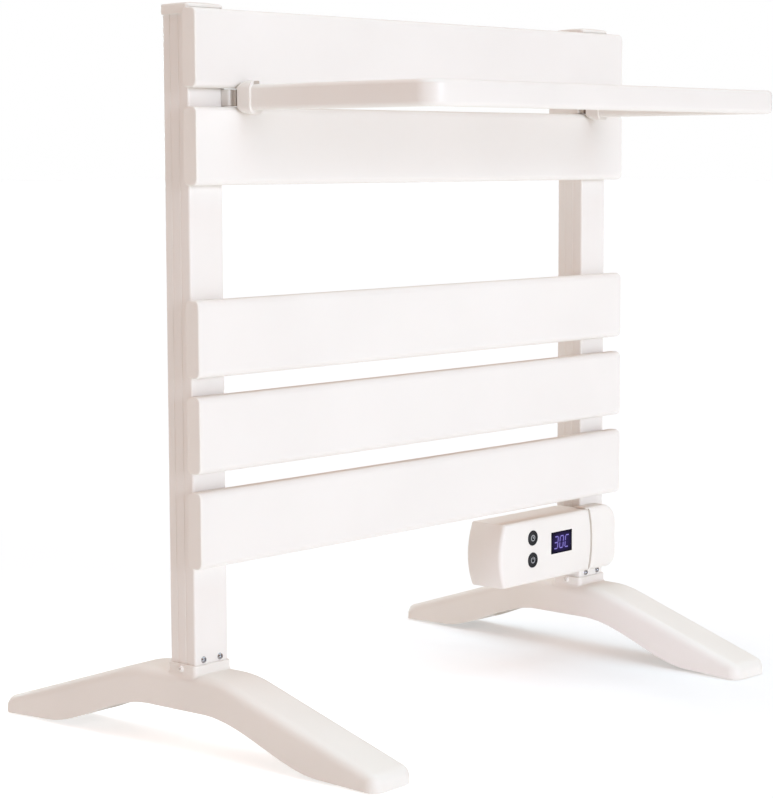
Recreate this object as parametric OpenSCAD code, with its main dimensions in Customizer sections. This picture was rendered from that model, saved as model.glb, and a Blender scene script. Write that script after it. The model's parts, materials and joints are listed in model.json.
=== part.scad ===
// Free-standing electric towel rail: five flat heated panels on two uprights,
// two arched feet, a U-shaped towel bar that folds up, and a control box.
// Millimetres. X runs to the right as seen from the front, Y to the back, Z up.
// The origin is on the floor, under the middle of the whole object.

/* [Panels] */
// Width of each heated panel
panel_w = 554; // [460:1:700]
// Height of each heated panel
panel_h = 60.6; // [52:0.1:76]
// Thickness of each heated panel, front to back
panel_t = 15.2; // [13:0.1:20]
// Wall of the hollow panel
panel_wall = 1.6; // [1.2:0.1:2.4]
// Radius of the long rounded edges of a panel
panel_edge_r = 5; // [3:0.1:6]
// Gap between neighbouring panels
panel_gap = 14.4; // [14:0.1:24]
// Large opening between the two upper and the three lower panels
towel_gap = 88.8; // [40:0.1:140]
// Height of the lowest panel's bottom edge above the floor
panel_base_z = 150; // [147:0.5:220]
// Thickness of the plate of a panel end cap
end_cap_t = 2; // [1.2:0.1:4]
// Length of the plug of a panel end cap inside the panel
end_plug_l = 8; // [4:0.5:14]
// Height of the channel that holds the heater bar
channel_h = 9; // [7:0.1:12]
// Thickness of the webs on both sides of that channel
web_t = 1.4; // [1:0.1:2]
// Distance of a panel screw above or below the panel's middle
fixing_dz = 18; // [13:0.5:20]

/* [Uprights] */
// Width of an upright
upright_w = 36; // [30:0.5:44]
// Depth of an upright, front to back
upright_d = 28.5; // [24:0.5:36]
// Wall of the upright's tube
upright_wall = 2; // [1.5:0.1:2.5]
// Radius of the upright's outer corners
upright_corner_r = 1.8; // [1:0.1:3]
// Distance from a panel's end to the upright's outer face
upright_inset = 6.4; // [3:0.1:20]
// Height of the upright's top end above the top panel
upright_rise = 1.5; // [1:0.1:20]
// Width of the shallow grooves down the upright's sides
groove_w = 2.4; // [0.6:0.1:3.5]
// Depth of those grooves
groove_d = 0.3; // [0.2:0.05:0.9]
// Overhang of a top cap round the upright
cap_lip = 1.6; // [1:0.1:3]
// Height of the cap's skirt below the upright's top end
cap_skirt = 5.4; // [3:0.1:9]
// Thickness of the cap's plate at its edge
cap_plate = 2.4; // [1.5:0.1:5]
// Rise of the cap's crowned top
cap_crown = 1.9; // [1:0.1:4]
// Length of the cap's tongues inside the upright
cap_plug = 12; // [6:0.5:20]
// Thickness of those tongues
cap_tongue = 3; // [2:0.1:5]

/* [Feet] */
// Length of a foot, toe to toe
foot_len = 413; // [360:0.5:480]
// Distance of the foot's middle behind the upright's axis
foot_shift = 4.8; // [0:0.1:12]
// Width of a foot
foot_w = 47.6; // [46:0.1:60]
// Height of the foot's flat crown
foot_crown_z = 63.5; // [58:0.5:70]
// Height of the foot's top edge at the toe
foot_tip_z = 12.8; // [12:0.1:20]
// Distance from the foot's middle to the turn from crown to slope
foot_shoulder = 49; // [40:0.5:60]
// Half length of that rounded turn
shoulder_blend = 15; // [5:0.5:20]
// Height of the arch under the foot
foot_arch_z = 34.5; // [25:0.1:36]
// Half length of the level top of the arch
arch_flat = 30; // [15:0.5:35]
// Distance from the foot's middle to the end of the arch
arch_end = 150; // [120:1:165]
// Clearance of the toe's underside above the floor
toe_lift = 0.7; // [0.4:0.1:1.2]
// Rise of the toe's underside for each millimetre inward
toe_rise = 0.035; // [0.01:0.005:0.05]
// Radius of the toe's corners seen from above
toe_r = 10; // [6:0.5:14]
// Radius of the toe's top edge seen from the side
toe_top_r = 6; // [3:0.5:8]
// Radius of the foot's long top edges
foot_edge_r = 9; // [4:0.5:12]
// Outward turn of the foot's rear toe, in degrees
foot_splay = 2.3; // [0:0.1:5]
// Wall of the foot, which is hollow from below
foot_wall = 3; // [2:0.1:4]
// Thickness of the foot's roof over its pockets
foot_roof = 5; // [4.5:0.1:8]
// Height of the collar round the upright, above the crown
collar_h = 7.5; // [6:0.1:9]
// Wall of the collar
collar_wall = 1.8; // [1.2:0.1:2.5]
// Thickness of the floor under the upright
socket_floor = 7.5; // [5:0.5:10]
// Height of the insert block inside the upright
insert_h = 50; // [44:1:80]
// Length of a rubber pad along the toe
pad_l = 26; // [15:1:34]
// Width of a rubber pad
pad_w = 30; // [15:1:36]
// Thickness of a rubber pad
pad_t = 2.2; // [1.8:0.1:4]
// Distance of a pad from the toe's end
pad_inset = 8; // [6:0.5:10]

/* [Towel bar] */
// Distance from the panels' face to the front of the towel bar
bar_reach = 201; // [120:1:260]
// Height of the bar's flat tube
bar_h = 20; // [17:0.5:22]
// Thickness of the bar's flat tube
bar_t = 12; // [10:0.5:14]
// Wall of the bar's tube
bar_wall = 1.5; // [1:0.1:1.6]
// Radius of the tube's edges
bar_edge_r = 4; // [2:0.1:5]
// Outer radius of the bar's two bends
bar_bend_r = 18; // [15:0.5:40]

/* [Hinges] */
// Distance of the hinge axis in front of the panels' face
hinge_forward = 11.5; // [11.2:0.1:16]
// Radius of the knuckle's round rear end
knuckle_r = 13; // [11.5:0.1:13.4]
// Width of the knuckle
knuckle_w = 16; // [15:0.5:20]
// Thickness of the tongue that the knuckle turns on
tongue_t = 6; // [4:0.1:7]
// Half height of the tongue and of the neck behind it
tongue_r = 6.5; // [5:0.1:6.6]
// Diameter of the hinge pin
pin_d = 5; // [3:0.1:6]
// Cover of knuckle over the pin's blind end
pin_cover = 1; // [0.6:0.1:2]
// Wall of knuckle in front of the pin
pin_wall = 0.6; // [0.5:0.1:1.5]
// Radius of the knuckle's corners seen from the front
knuckle_edge_r = 6; // [2:0.1:7]
// Radius of the upright edges of the bracket's neck
neck_r = 4; // [1:0.1:6]
// Length of the knuckle's spigot inside the bar
spigot_l = 25; // [12:1:60]
// Thickness of the hinge bracket's plate
plate_t = 3.5; // [2:0.1:5]
// Height of the hinge bracket's plate
plate_h = 40; // [34:1:60]

/* [Control box] */
// Length of the main part of the control box
ctrl_w = 138.5; // [134:0.5:180]
// Height of the control box
ctrl_h = 59; // [57:0.5:64]
// Depth of the control box
ctrl_d = 41; // [38:0.5:48]
// Height of the control box's underside above the floor
ctrl_z = 80; // [76:0.5:82]
// Depth of the front cover, up to the seam with the rear shell
ctrl_split = 19; // [17:0.5:22]
// Wall of the control box
ctrl_wall = 2.2; // [1.8:0.1:2.6]
// Radius of the control box's outer edges
ctrl_edge_r = 4; // [2:0.1:5]
// Bulge of the box's left end
left_bulge = 7; // [3:0.1:10]
// Bulge of the seam beside the upright
seam_bulge = 4.5; // [2:0.1:6]
// Gap in that seam
seam_gap = 0.25; // [0.2:0.05:0.8]
// Overhang of the end cover past the upright's outer face
end_overhang = 1.8; // [0.5:0.1:4]
// Rise of the end cover above the main part
end_rise = 1.5; // [0:0.1:3]
// Radius of the end cover's upper outer corner
end_top_r = 20; // [12:0.5:24]
// Radius of the end cover's lower outer corner
end_bottom_r = 12; // [8:0.5:20]

/* [Controls] */
// Diameter of a button
button_d = 14; // [10:0.1:15]
// Distance between the two buttons
button_pitch = 20.5; // [19:0.1:24]
// Distance of the buttons from the box's left end
button_x = 47; // [40:0.5:56]
// Height of the buttons' middle above the box's middle
button_dz = 2.6; // [-4:0.1:4]
// Height of a button above the cover
button_proud = 0.6; // [0.2:0.1:1.5]
// Travel of a button
button_travel = 0.8; // [0.4:0.1:1.2]
// Width of the display window
display_w = 30; // [24:0.5:34]
// Height of the display window
display_h = 18.5; // [14:0.5:22]
// Distance of the display's middle from the box's left end
display_x = 90.5; // [84:0.5:96]
// Height of the display's middle above the box's middle
display_dz = 4; // [-6:0.1:8]

/* [Fasteners and wiring] */
// Diameter of a panel screw
panel_screw_d = 4; // [3:0.1:5]
// Diameter of a small screw
small_screw_d = 3; // [2.5:0.1:3.5]
// Diameter of a board screw
board_screw_d = 2; // [1.6:0.1:2.5]
// Height of the screws' round heads
head_h = 2.2; // [1.5:0.1:2.6]
// Distance of a front foot screw from the upright's middle
foot_screw_dx = 9; // [6:0.1:10]
// Height of the front foot screws above the collar
foot_screw_dz = 3.6; // [3:0.1:8]
// Bite of a screw beyond the wall it holds
screw_bite = 9; // [6:0.5:10]
// Diameter of the wiring loom
loom_d = 6; // [4:0.1:7]
// Diameter of a lead to a heater bar
lead_d = 4; // [3:0.1:5]
// Distance of the loom outward from the upright's middle
loom_dx = 9; // [7:0.1:10]

/* [Hidden] */
$fn = 48;

// Clearances
fit_gap = 0.05;      // screw or pin in its hole
seat_gap = 0.15;     // piece in its seat, each side
lead_gap = 0.25;     // lead in its hole, each side
neck_gap = 0.7;      // knuckle to the bracket's neck
side_gap = 0.6;      // knuckle to the upright's inner face line
stop_gap = 0.1;      // tongue to the stop faces of the knuckle's slot
panel_clear = 0.6;   // bracket to the panels' rear face
button_gap = 0.15;   // button in its hole, each side
cut = 1;             // overrun of a cut past the face it opens

// Fasteners
head_ratio = 1.84;   // diameter of a screw's head for each millimetre of the screw
screw_through = 3;   // screw's end past the last wall it is driven through

// Places along the height
panel_count = 5;
upper_count = 2;
function panel_z(i) = panel_base_z + (panel_count - i) * (panel_h + panel_gap)
    + (i <= upper_count ? towel_gap - panel_gap : 0);
function panel_mid(i) = panel_z(i) + panel_h / 2;
panels_top = panel_z(1) + panel_h;
upright_top = panels_top + upright_rise;
hinge_z = panel_z(1) - panel_gap / 2;
socket_z = foot_arch_z + socket_floor;
collar_top = foot_crown_z + collar_h;
side_screw_z = foot_crown_z + collar_h / 2;
front_screw_z = collar_top + foot_screw_dz;
ctrl_mid = ctrl_z + ctrl_h / 2;

// Places across the width, given for the right-hand side
upright_x = panel_w / 2 - upright_inset - upright_w / 2;
upright_in = upright_x - upright_w / 2;
upright_out = upright_x + upright_w / 2;
arm_x = upright_in - side_gap - knuckle_w / 2;

// Places front to back, counted from the panels' face
upright_cy = panel_t + upright_d / 2;
upright_back = panel_t + upright_d;
hinge_y = -hinge_forward;
neck_y = hinge_y + knuckle_r + neck_gap;
slot_face = 0.2;         // knuckle between its slot and the tube's end
knuckle_l = tongue_r + stop_gap + slot_face;
knuckle_front = pin_d / 2 + fit_gap + pin_wall;
tube_end = hinge_forward + knuckle_l;

// The panels' face is placed so that the origin is halfway from the bar's front to the rear toes
foot_half = foot_len / 2;
toe_y = upright_cy + (foot_shift + foot_half - toe_r) * cos(foot_splay)
    + (foot_w / 2 - toe_r) * sin(foot_splay) + toe_r;
face_y = (bar_reach - toe_y) / 2;

// Hollow inside of an upright
bore_w = upright_w - 2 * upright_wall;
bore_d = upright_d - 2 * upright_wall;

// Inside of the control box
ctrl_side_gap = 1;       // box to the upright's inner face
ctrl_right = upright_in - ctrl_side_gap;
ctrl_left = ctrl_right - ctrl_w;
shell_back = ctrl_d - ctrl_wall;
boss_wall = 1.2;
head_bore = head_ratio * small_screw_d + 2 * seat_gap;
boss_d = head_bore + 2 * boss_wall;
boss_left = 18;          // screw bosses, from the box's left end
boss_right = 14;         // and from its right end
boss_rise = 8;           // and from its underside and top
boss_x = [ctrl_left + boss_left, ctrl_right - boss_right];
boss_z = [ctrl_z + boss_rise, ctrl_z + ctrl_h - boss_rise];
head_recess = 3;         // cover screws' heads below the box's back
board_t = 1.6;
board_y = 12;
board_back = board_y + board_t;
board_rim = 5;
board_bite = 8;
board_x0 = ctrl_left + boss_left + boss_d;
board_x1 = ctrl_right - boss_right - board_rim;
mount_t = 8.6;           // pad that seats on the upright
mount_x = upright_in - mount_t;
mount_half = 16;
mount_screw_dz = 11;
end_screw_dz = 18;
terminal_w = 24;
terminal_half = 7;
terminal_gap = 9.4;      // terminal block to that pad
terminal_x1 = mount_x - terminal_gap;
terminal_x0 = terminal_x1 - terminal_w;
relay_gap = 14;          // relay to the terminal block
relay_size = [19, 15, 15.5];

// Shared shapes
module at_face() translate([0, face_y, 0]) children();
module on_side(side) mirror([side < 0 ? 1 : 0, 0, 0]) children();
module along_x(len) rotate([90, 0, 90]) linear_extrude(len, center = true) children();
module slab_y(y0, y1) translate([0, y1, 0]) rotate([90, 0, 0]) linear_extrude(y1 - y0) children();
module rod_x(d, len) rotate([0, 90, 0]) cylinder(d = d, h = len, center = true);
module rod_y(d, len) rotate([90, 0, 0]) cylinder(d = d, h = len, center = true);

module rounded_rect(w, h, r) {
    square([w - 2 * r, h], center = true);
    square([w, h - 2 * r], center = true);
    for (x = [-1, 1], y = [-1, 1])
        translate([x * (w / 2 - r), y * (h / 2 - r)]) circle(r);
}

// Screw along +Z from its head's seat at z = 0: the shank goes up, the domed head hangs below
module round_screw(d, len) {
    head_r = head_ratio * d / 2;
    dome_r = (head_r * head_r + head_h * head_h) / (2 * head_h);
    cylinder(d = d, h = len);
    intersection() {
        translate([0, 0, dome_r - head_h]) sphere(dome_r);
        translate([0, 0, -head_h]) cylinder(r = head_r, h = head_h);
    }
}

// Panels, their end caps and heater bars
module panel_chambers(inset) {
    difference() {
        rounded_rect(panel_t - 2 * (panel_wall + inset), panel_h - 2 * (panel_wall + inset),
            panel_edge_r - panel_wall);
        for (s = [-1, 1])
            translate([0, s * (channel_h + web_t) / 2]) square([panel_t, web_t + 2 * inset], center = true);
    }
}

module panel_outline() rounded_rect(panel_t, panel_h, panel_edge_r);

module heating_panel(i) {
    color("white") at_face() translate([0, panel_t / 2, panel_mid(i)]) difference() {
        along_x(panel_w - 2 * end_cap_t) difference() {
            panel_outline();
            panel_chambers(0);
        }
        translate([0, (panel_t - panel_wall) / 2, 0]) {
            for (x = [-1, 1], z = [-1, 1])
                translate([x * upright_x, 0, z * fixing_dz])
                    rod_y(panel_screw_d + 2 * fit_gap, panel_wall + 2 * cut);
            translate([upright_x + loom_dx, 0, 0]) rod_y(lead_d + 2 * lead_gap, panel_wall + 2 * cut);
        }
    }
}

module heater_bar(i) {
    len = panel_w - 2 * (end_cap_t + end_plug_l + cut);
    color("silver") at_face() translate([0, panel_t / 2, panel_mid(i)])
        cube([len, panel_t - 2 * (panel_wall + seat_gap), channel_h - 2 * seat_gap], center = true);
}

module end_caps(side) {
    color("white") on_side(side) at_face() for (i = [1 : panel_count])
        translate([panel_w / 2 - end_cap_t, panel_t / 2, panel_mid(i)]) {
            translate([end_cap_t / 2, 0, 0]) along_x(end_cap_t) panel_outline();
            translate([-end_plug_l / 2, 0, 0]) along_x(end_plug_l) panel_chambers(seat_gap);
        }
}

// Uprights, top caps and panel screws
module upright_section() {
    difference() {
        rounded_rect(upright_w, upright_d, upright_corner_r);
        rounded_rect(bore_w, bore_d, upright_corner_r / 2);
        for (x = [-1, 1], y = [-1, 1])
            translate([x * upright_w / 2, y * upright_d / 6])
                square([2 * groove_d, groove_w], center = true);
    }
}

module panel_fixings() {
    for (i = [1 : panel_count], z = [-1, 1]) translate([0, 0, panel_mid(i) + z * fixing_dz]) children();
}

module hinge_fixings() {
    edge = 6;
    for (z = [-1, 1])
        translate([0, upright_cy, hinge_z + z * (plate_h / 2 - edge)]) children();
}

module upright(side) {
    wall_y = panel_t + upright_wall / 2;
    color("white") on_side(side) at_face() difference() {
        translate([upright_x, upright_cy, socket_z])
            linear_extrude(upright_top - socket_z) upright_section();
        translate([upright_x, upright_cy, 0])
            panel_fixings() rod_y(panel_screw_d + 2 * fit_gap, upright_d + 2 * cut);
        for (x = [-1, 1]) {
            translate([upright_x + x * foot_screw_dx, wall_y, front_screw_z])
                rod_y(small_screw_d + 2 * fit_gap, upright_wall + 2 * cut);
            translate([upright_x + x * (upright_w - upright_wall) / 2, upright_cy, side_screw_z])
                rod_x(small_screw_d + 2 * fit_gap, upright_wall + 2 * cut);
        }
        translate([upright_in + upright_wall / 2, 0, 0])
            hinge_fixings() rod_x(small_screw_d + 2 * fit_gap, upright_wall + 2 * cut);
        if (side > 0) {
            for (i = [1 : panel_count])
                translate([upright_x + loom_dx, wall_y, panel_mid(i)])
                    rod_y(lead_d + 2 * lead_gap, upright_wall + 2 * cut);
            translate([upright_in + upright_wall / 2, upright_cy, ctrl_mid]) {
                rod_x(loom_d + 2 * lead_gap, upright_wall + 2 * cut);
                for (z = [-1, 1])
                    translate([0, 0, z * mount_screw_dz])
                        rod_x(small_screw_d + 2 * fit_gap, upright_wall + 2 * cut);
            }
            translate([upright_x, upright_cy, ctrl_mid + end_screw_dz])
                rod_y(panel_screw_d + 2 * fit_gap, upright_d + 2 * cut);
        }
    }
}

module top_cap(side) {
    out_w = upright_w + 2 * cap_lip;
    out_d = upright_d + 2 * cap_lip;
    dome_r = (out_w * out_w / 4 + cap_crown * cap_crown) / (2 * cap_crown);
    color("white") on_side(side) at_face() translate([upright_x, upright_cy, upright_top]) {
        // Plate with a crowned top
        intersection() {
            linear_extrude(cap_plate + cap_crown) rounded_rect(out_w, out_d, upright_corner_r + cap_lip);
            translate([0, 0, cap_plate + cap_crown - dome_r]) sphere(dome_r, $fn = 160);
        }
        // Skirt down the back and both sides, open where the top panel is
        translate([0, 0, -cap_skirt]) difference() {
            linear_extrude(cap_skirt) difference() {
                rounded_rect(out_w, out_d, upright_corner_r + cap_lip);
                rounded_rect(upright_w + 2 * seat_gap, upright_d + 2 * seat_gap, upright_corner_r);
            }
            translate([-out_w, -out_d - upright_d / 2 + seat_gap, -cut])
                cube([2 * out_w, out_d, cap_skirt + 2 * cut]);
        }
        // Two tongues down the tube's sides, clear of the panel screws
        translate([0, 0, -cap_plug]) linear_extrude(cap_plug) difference() {
            rounded_rect(bore_w - 2 * seat_gap, bore_d - 2 * seat_gap, upright_corner_r / 2);
            square([bore_w - 2 * cap_tongue, upright_d], center = true);
        }
    }
}

module panel_screws(side) {
    len = upright_d + panel_wall + screw_through;
    color("silver") on_side(side) at_face() translate([upright_x, upright_back, 0])
        panel_fixings() rotate([90, 0, 0]) round_screw(panel_screw_d, len);
}

// Feet: cross-sections carried along the foot, with s counted from the foot's middle
function unit(t) = min(1, max(0, t));
function smooth(t) = t * t * (3 - 2 * t);
function round_off(a, r) = a > foot_half - r ? r - sqrt(max(0, r * r - pow(a - foot_half + r, 2))) : 0;
foot_slope = (foot_crown_z - foot_tip_z) / (foot_half - foot_shoulder);
function slope_drop(a) = a < foot_shoulder - shoulder_blend ? 0
    : a > foot_shoulder + shoulder_blend ? foot_slope * (a - foot_shoulder)
    : foot_slope * pow(a - foot_shoulder + shoulder_blend, 2) / (4 * shoulder_blend);
function foot_top(a) = foot_crown_z - slope_drop(a);
function toe_under(a) = toe_lift + toe_rise * (foot_half - a);
function foot_under(a) = let (t = smooth(unit((a - arch_flat) / (arch_end - arch_flat))))
    foot_arch_z * (1 - t) + toe_under(a) * t;

edge_steps = 7;
edge_share = 0.6;        // largest edge radius as a share of the foot's height there
function foot_ring(s) = let (
        a = abs(s),
        hw = foot_w / 2 - round_off(a, toe_r),
        low = foot_under(a),
        top = foot_top(a) - round_off(a, toe_top_r),
        r = min(foot_edge_r, edge_share * (top - low)))
    concat([[-hw, s, low], [hw, s, low]],
        [for (k = [0 : edge_steps]) let (t = 90 * k / edge_steps)
            [hw - r + r * cos(t), s, top - r + r * sin(t)]],
        [for (k = [0 : edge_steps]) let (t = 90 + 90 * k / edge_steps)
            [-hw + r + r * cos(t), s, top - r + r * sin(t)]]);

toe_steps = 7;
body_steps = 46;
toe_stations = [for (k = [0 : toe_steps - 1]) foot_half - toe_r + toe_r * cos(90 * k / toe_steps)];
function foot_stations() = concat(
    [for (a = toe_stations) -a],
    [for (k = [0 : body_steps]) (foot_half - toe_r) * (2 * k / body_steps - 1)],
    [for (k = [toe_steps - 1 : -1 : 0]) toe_stations[k]]);

// Solid through a list of rings that have equally many points
module loft(rings) {
    n = len(rings[0]);
    last = len(rings) - 1;
    polyhedron(
        points = [for (ring = rings, p = ring) p],
        faces = concat(
            [[for (j = [n - 1 : -1 : 0]) j]],
            [for (i = [0 : last - 1], j = [0 : n - 1]) let (k = (j + 1) % n)
                [i * n + j, i * n + k, (i + 1) * n + k]],
            [for (i = [0 : last - 1], j = [0 : n - 1]) let (k = (j + 1) % n)
                [i * n + j, (i + 1) * n + k, (i + 1) * n + j]],
            [[for (j = [0 : n - 1]) last * n + j]]));
}

pocket_start = 36;
toe_solid = 8;           // solid toe between a pad and the last pocket
pocket_end = foot_half - pad_inset - pad_l - toe_solid;
pocket_count = 3;
rib_t = 3;

// One pocket of a leg, seen from the side; dir is 1 to the back and -1 to the front
module foot_pocket(k, dir) {
    pitch = (pocket_end - pocket_start + rib_t) / pocket_count;
    a0 = pocket_start + k * pitch;
    a1 = a0 + pitch - rib_t;
    steps = 4;
    along_x(foot_w - 2 * foot_wall)
        polygon(concat([[dir * a1, -cut], [dir * a0, -cut]],
            [for (j = [0 : steps]) let (a = a0 + (a1 - a0) * j / steps)
                [dir * a, foot_top(a) - foot_roof]]));
}

module pad_places() {
    for (dir = [-1, 1])
        translate([0, foot_shift + dir * (foot_half - pad_inset - pad_l / 2), 0]) children();
}

module foot(side) {
    socket_w = upright_w + 2 * seat_gap;
    socket_d = upright_d + 2 * seat_gap;
    color("white") on_side(side) at_face() translate([upright_x, upright_cy, 0]) difference() {
        union() {
            rotate([0, 0, -foot_splay]) difference() {
                translate([0, foot_shift, 0]) {
                    difference() {
                        loft([for (s = foot_stations()) foot_ring(s)]);
                        for (k = [0 : pocket_count - 1], dir = [-1, 1]) foot_pocket(k, dir);
                    }
                }
                pad_places() translate([0, 0, pad_t / 2 - cut])
                    cube([pad_w + 2 * seat_gap, pad_l + 2 * seat_gap, pad_t + 2 * cut], center = true);
            }
            translate([0, 0, foot_crown_z - socket_floor]) linear_extrude(collar_h + socket_floor)
                rounded_rect(socket_w + 2 * collar_wall, socket_d + 2 * collar_wall,
                    upright_corner_r + collar_wall);
        }
        translate([0, 0, socket_z]) linear_extrude(collar_top)
            rounded_rect(socket_w, socket_d, upright_corner_r);
        translate([0, 0, side_screw_z]) rod_x(small_screw_d + 2 * fit_gap, foot_w + 2 * cut);
    }
}

module foot_insert(side) {
    in_w = bore_w - 2 * seat_gap;
    in_d = bore_d - 2 * seat_gap;
    color("dimgray") on_side(side) at_face() translate([upright_x, upright_cy, 0]) difference() {
        translate([0, 0, socket_z]) linear_extrude(insert_h) rounded_rect(in_w, in_d, upright_corner_r / 2);
        for (x = [-1, 1]) {
            translate([x * foot_screw_dx, -in_d / 2, front_screw_z])
                rod_y(small_screw_d + 2 * fit_gap, 2 * (screw_bite + seat_gap));
            translate([x * in_w / 2, 0, side_screw_z])
                rod_x(small_screw_d + 2 * fit_gap, 2 * (screw_bite + seat_gap));
        }
    }
}

module foot_screws(side) {
    side_seat = upright_w / 2 + seat_gap + collar_wall;
    side_len = collar_wall + seat_gap + upright_wall + screw_bite;
    color("silver") on_side(side) at_face() translate([upright_x, 0, 0]) for (x = [-1, 1]) {
        translate([x * foot_screw_dx, panel_t, front_screw_z])
            rotate([-90, 0, 0]) round_screw(small_screw_d, upright_wall + screw_bite);
        translate([x * side_seat, upright_cy, side_screw_z])
            rotate([0, -x * 90, 0]) round_screw(small_screw_d, side_len);
    }
}

module foot_pads(side) {
    color("gray") on_side(side) at_face() translate([upright_x, upright_cy, 0]) rotate([0, 0, -foot_splay])
        pad_places() linear_extrude(pad_t) square([pad_w, pad_l], center = true);
}

// Towel bar and its hinges
min_edge_r = 0.5;
module bar_section(inset)
    rounded_rect(bar_t - 2 * inset, bar_h - 2 * inset, max(min_edge_r, bar_edge_r - inset));

// The bar's U, as a solid of the tube's section shrunk by inset, with the arm ends run on by extra
module bar_sweep(inset, extra) {
    bend_x = arm_x + bar_t / 2 - bar_bend_r;
    bend_y = -(bar_reach - bar_bend_r);
    for (side = [-1, 1]) on_side(side) {
        translate([arm_x, -tube_end + extra, 0]) rotate([90, 0, 0])
            linear_extrude(-bend_y - tube_end + extra) bar_section(inset);
        translate([bend_x, bend_y, 0]) rotate([0, 0, -90])
            rotate_extrude(angle = 90) translate([bar_bend_r - bar_t / 2, 0]) bar_section(inset);
    }
    translate([0, -bar_reach + bar_t / 2, 0]) along_x(2 * bend_x) bar_section(inset);
}

module towel_bar() {
    color("white") at_face() translate([0, 0, hinge_z]) difference() {
        bar_sweep(0, 0);
        bar_sweep(bar_wall, cut);
    }
}

module bar_knuckle(side) {
    slot = tongue_t + 2 * seat_gap;
    floor_r = tongue_r + stop_gap;
    blind = knuckle_w - pin_cover;
    color("white") on_side(side) at_face() translate([arm_x, hinge_y, hinge_z]) difference() {
        union() {
            intersection() {
                along_x(knuckle_w) circle(knuckle_r, $fn = 96);
                slab_y(-knuckle_front, knuckle_r) rounded_rect(knuckle_w, 2 * knuckle_r, knuckle_edge_r);
            }
            rotate([90, 0, 0]) linear_extrude(knuckle_l) bar_section(0);
            rotate([90, 0, 0]) linear_extrude(knuckle_l + spigot_l) bar_section(bar_wall + seat_gap);
        }
        translate([-slot / 2, -floor_r, -floor_r]) cube([slot, 3 * knuckle_r, 3 * knuckle_r]);
        translate([-pin_cover / 2 - cut / 2, 0, 0]) rod_x(pin_d + 2 * fit_gap, blind + cut);
    }
}

module hinge_pin(side) {
    color("silver") on_side(side) at_face() translate([arm_x - pin_cover / 2, hinge_y, hinge_z])
        rod_x(pin_d, knuckle_w - pin_cover - 2 * fit_gap);
}

module hinge_bracket(side) {
    set_back = 1;
    plate_y = panel_t + panel_clear;
    neck_end = upright_back - set_back;
    neck_w = knuckle_w + side_gap;
    color("white") on_side(side) at_face() difference() {
        union() {
            translate([upright_in - plate_t, plate_y, hinge_z - plate_h / 2])
                cube([plate_t, neck_end - plate_y, plate_h]);
            translate([upright_in - neck_w / 2, (neck_y + neck_end) / 2, hinge_z - tongue_r])
                linear_extrude(2 * tongue_r) rounded_rect(neck_w, neck_end - neck_y, neck_r);
            translate([arm_x, hinge_y, hinge_z]) along_x(tongue_t) {
                circle(tongue_r);
                translate([0, -tongue_r]) square([neck_y - hinge_y + cut, 2 * tongue_r]);
            }
        }
        translate([arm_x, hinge_y, hinge_z]) rod_x(pin_d + 2 * fit_gap, tongue_t + 2 * cut);
        translate([upright_in - plate_t / 2, 0, 0])
            hinge_fixings() rod_x(small_screw_d + 2 * fit_gap, plate_t + 2 * cut);
    }
}

module hinge_screws(side) {
    color("silver") on_side(side) at_face() translate([upright_in - plate_t, 0, 0])
        hinge_fixings() rotate([0, 90, 0])
            round_screw(small_screw_d, plate_t + upright_wall + screw_through);
}

// Control box: its outline seen from the front, shrunk by inset, with a bulge at both ends
arc_steps = 14;
function bulge_r(b) = (ctrl_h * ctrl_h / 4 + b * b) / (2 * b);
function arc_points(c, r, t0, t1) =
    [for (k = [0 : arc_steps]) let (t = t0 + (t1 - t0) * k / arc_steps) c + r * [cos(t), sin(t)]];
function ctrl_points(inset) = let (
        half = ctrl_h / 2 - inset,
        left_r = bulge_r(left_bulge),
        seam_r = bulge_r(seam_bulge),
        left_t = asin(half / (left_r - inset)),
        seam_t = asin(half / (seam_r - inset)))
    concat(arc_points([ctrl_right - seam_r, ctrl_mid], seam_r - inset, -seam_t, seam_t),
        arc_points([ctrl_left + left_r, ctrl_mid], left_r - inset, 180 - left_t, 180 + left_t));
module ctrl_outline(inset) polygon(ctrl_points(inset));

function ring_at(points, y) = [for (p = points) [p[0], y, p[1]]];
edge_turn = 15;

// Half box from y = 0 to the given depth, with its outer edges rounded at y = 0
module rounded_half(depth) {
    r = ctrl_edge_r;
    loft(concat([for (t = [90 : -edge_turn : 0]) ring_at(ctrl_points(r - r * cos(t)), r - r * sin(t))],
        [ring_at(ctrl_points(0), depth)]));
}

module boss_places() for (x = boss_x, z = boss_z) translate([x, 0, z]) children();
module board_corners() {
    low = ctrl_z + 2 * board_rim;
    high = ctrl_z + ctrl_h - 2 * board_rim;
    for (x = [board_x0 + board_rim, board_x1 - board_rim], z = [low, high]) translate([x, 0, z]) children();
}
module button_places()
    for (k = [-1, 1])
        translate([ctrl_left + button_x, 0, ctrl_mid + button_dz + k * button_pitch / 2]) children();
module display_place() translate([ctrl_left + display_x, 0, ctrl_mid + display_dz]) children();

module control_front_cover() {
    color("white") at_face() difference() {
        union() {
            difference() {
                rounded_half(ctrl_split);
                slab_y(ctrl_wall, ctrl_split + cut) ctrl_outline(ctrl_wall);
            }
            boss_places() translate([0, (ctrl_wall + ctrl_split) / 2, 0])
                rod_y(boss_d, ctrl_split - ctrl_wall);
        }
        boss_places() translate([0, ctrl_split, 0])
            rod_y(small_screw_d + 2 * fit_gap, 2 * (screw_bite + seat_gap));
        button_places() rod_y(button_d + 2 * button_gap, 2 * ctrl_wall + 2 * cut);
        display_place() cube([display_w + 2 * seat_gap, 2 * ctrl_wall + 2 * cut, display_h + 2 * seat_gap],
            center = true);
    }
}

// Cable gland in the box's back
gland_d = 12;
gland_bore = 7;
gland_x = 40;            // from the box's left end
gland_drop = 6;          // below the box's middle
module gland_place() translate([ctrl_left + gland_x, ctrl_d, ctrl_mid - gland_drop]) children();

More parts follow.
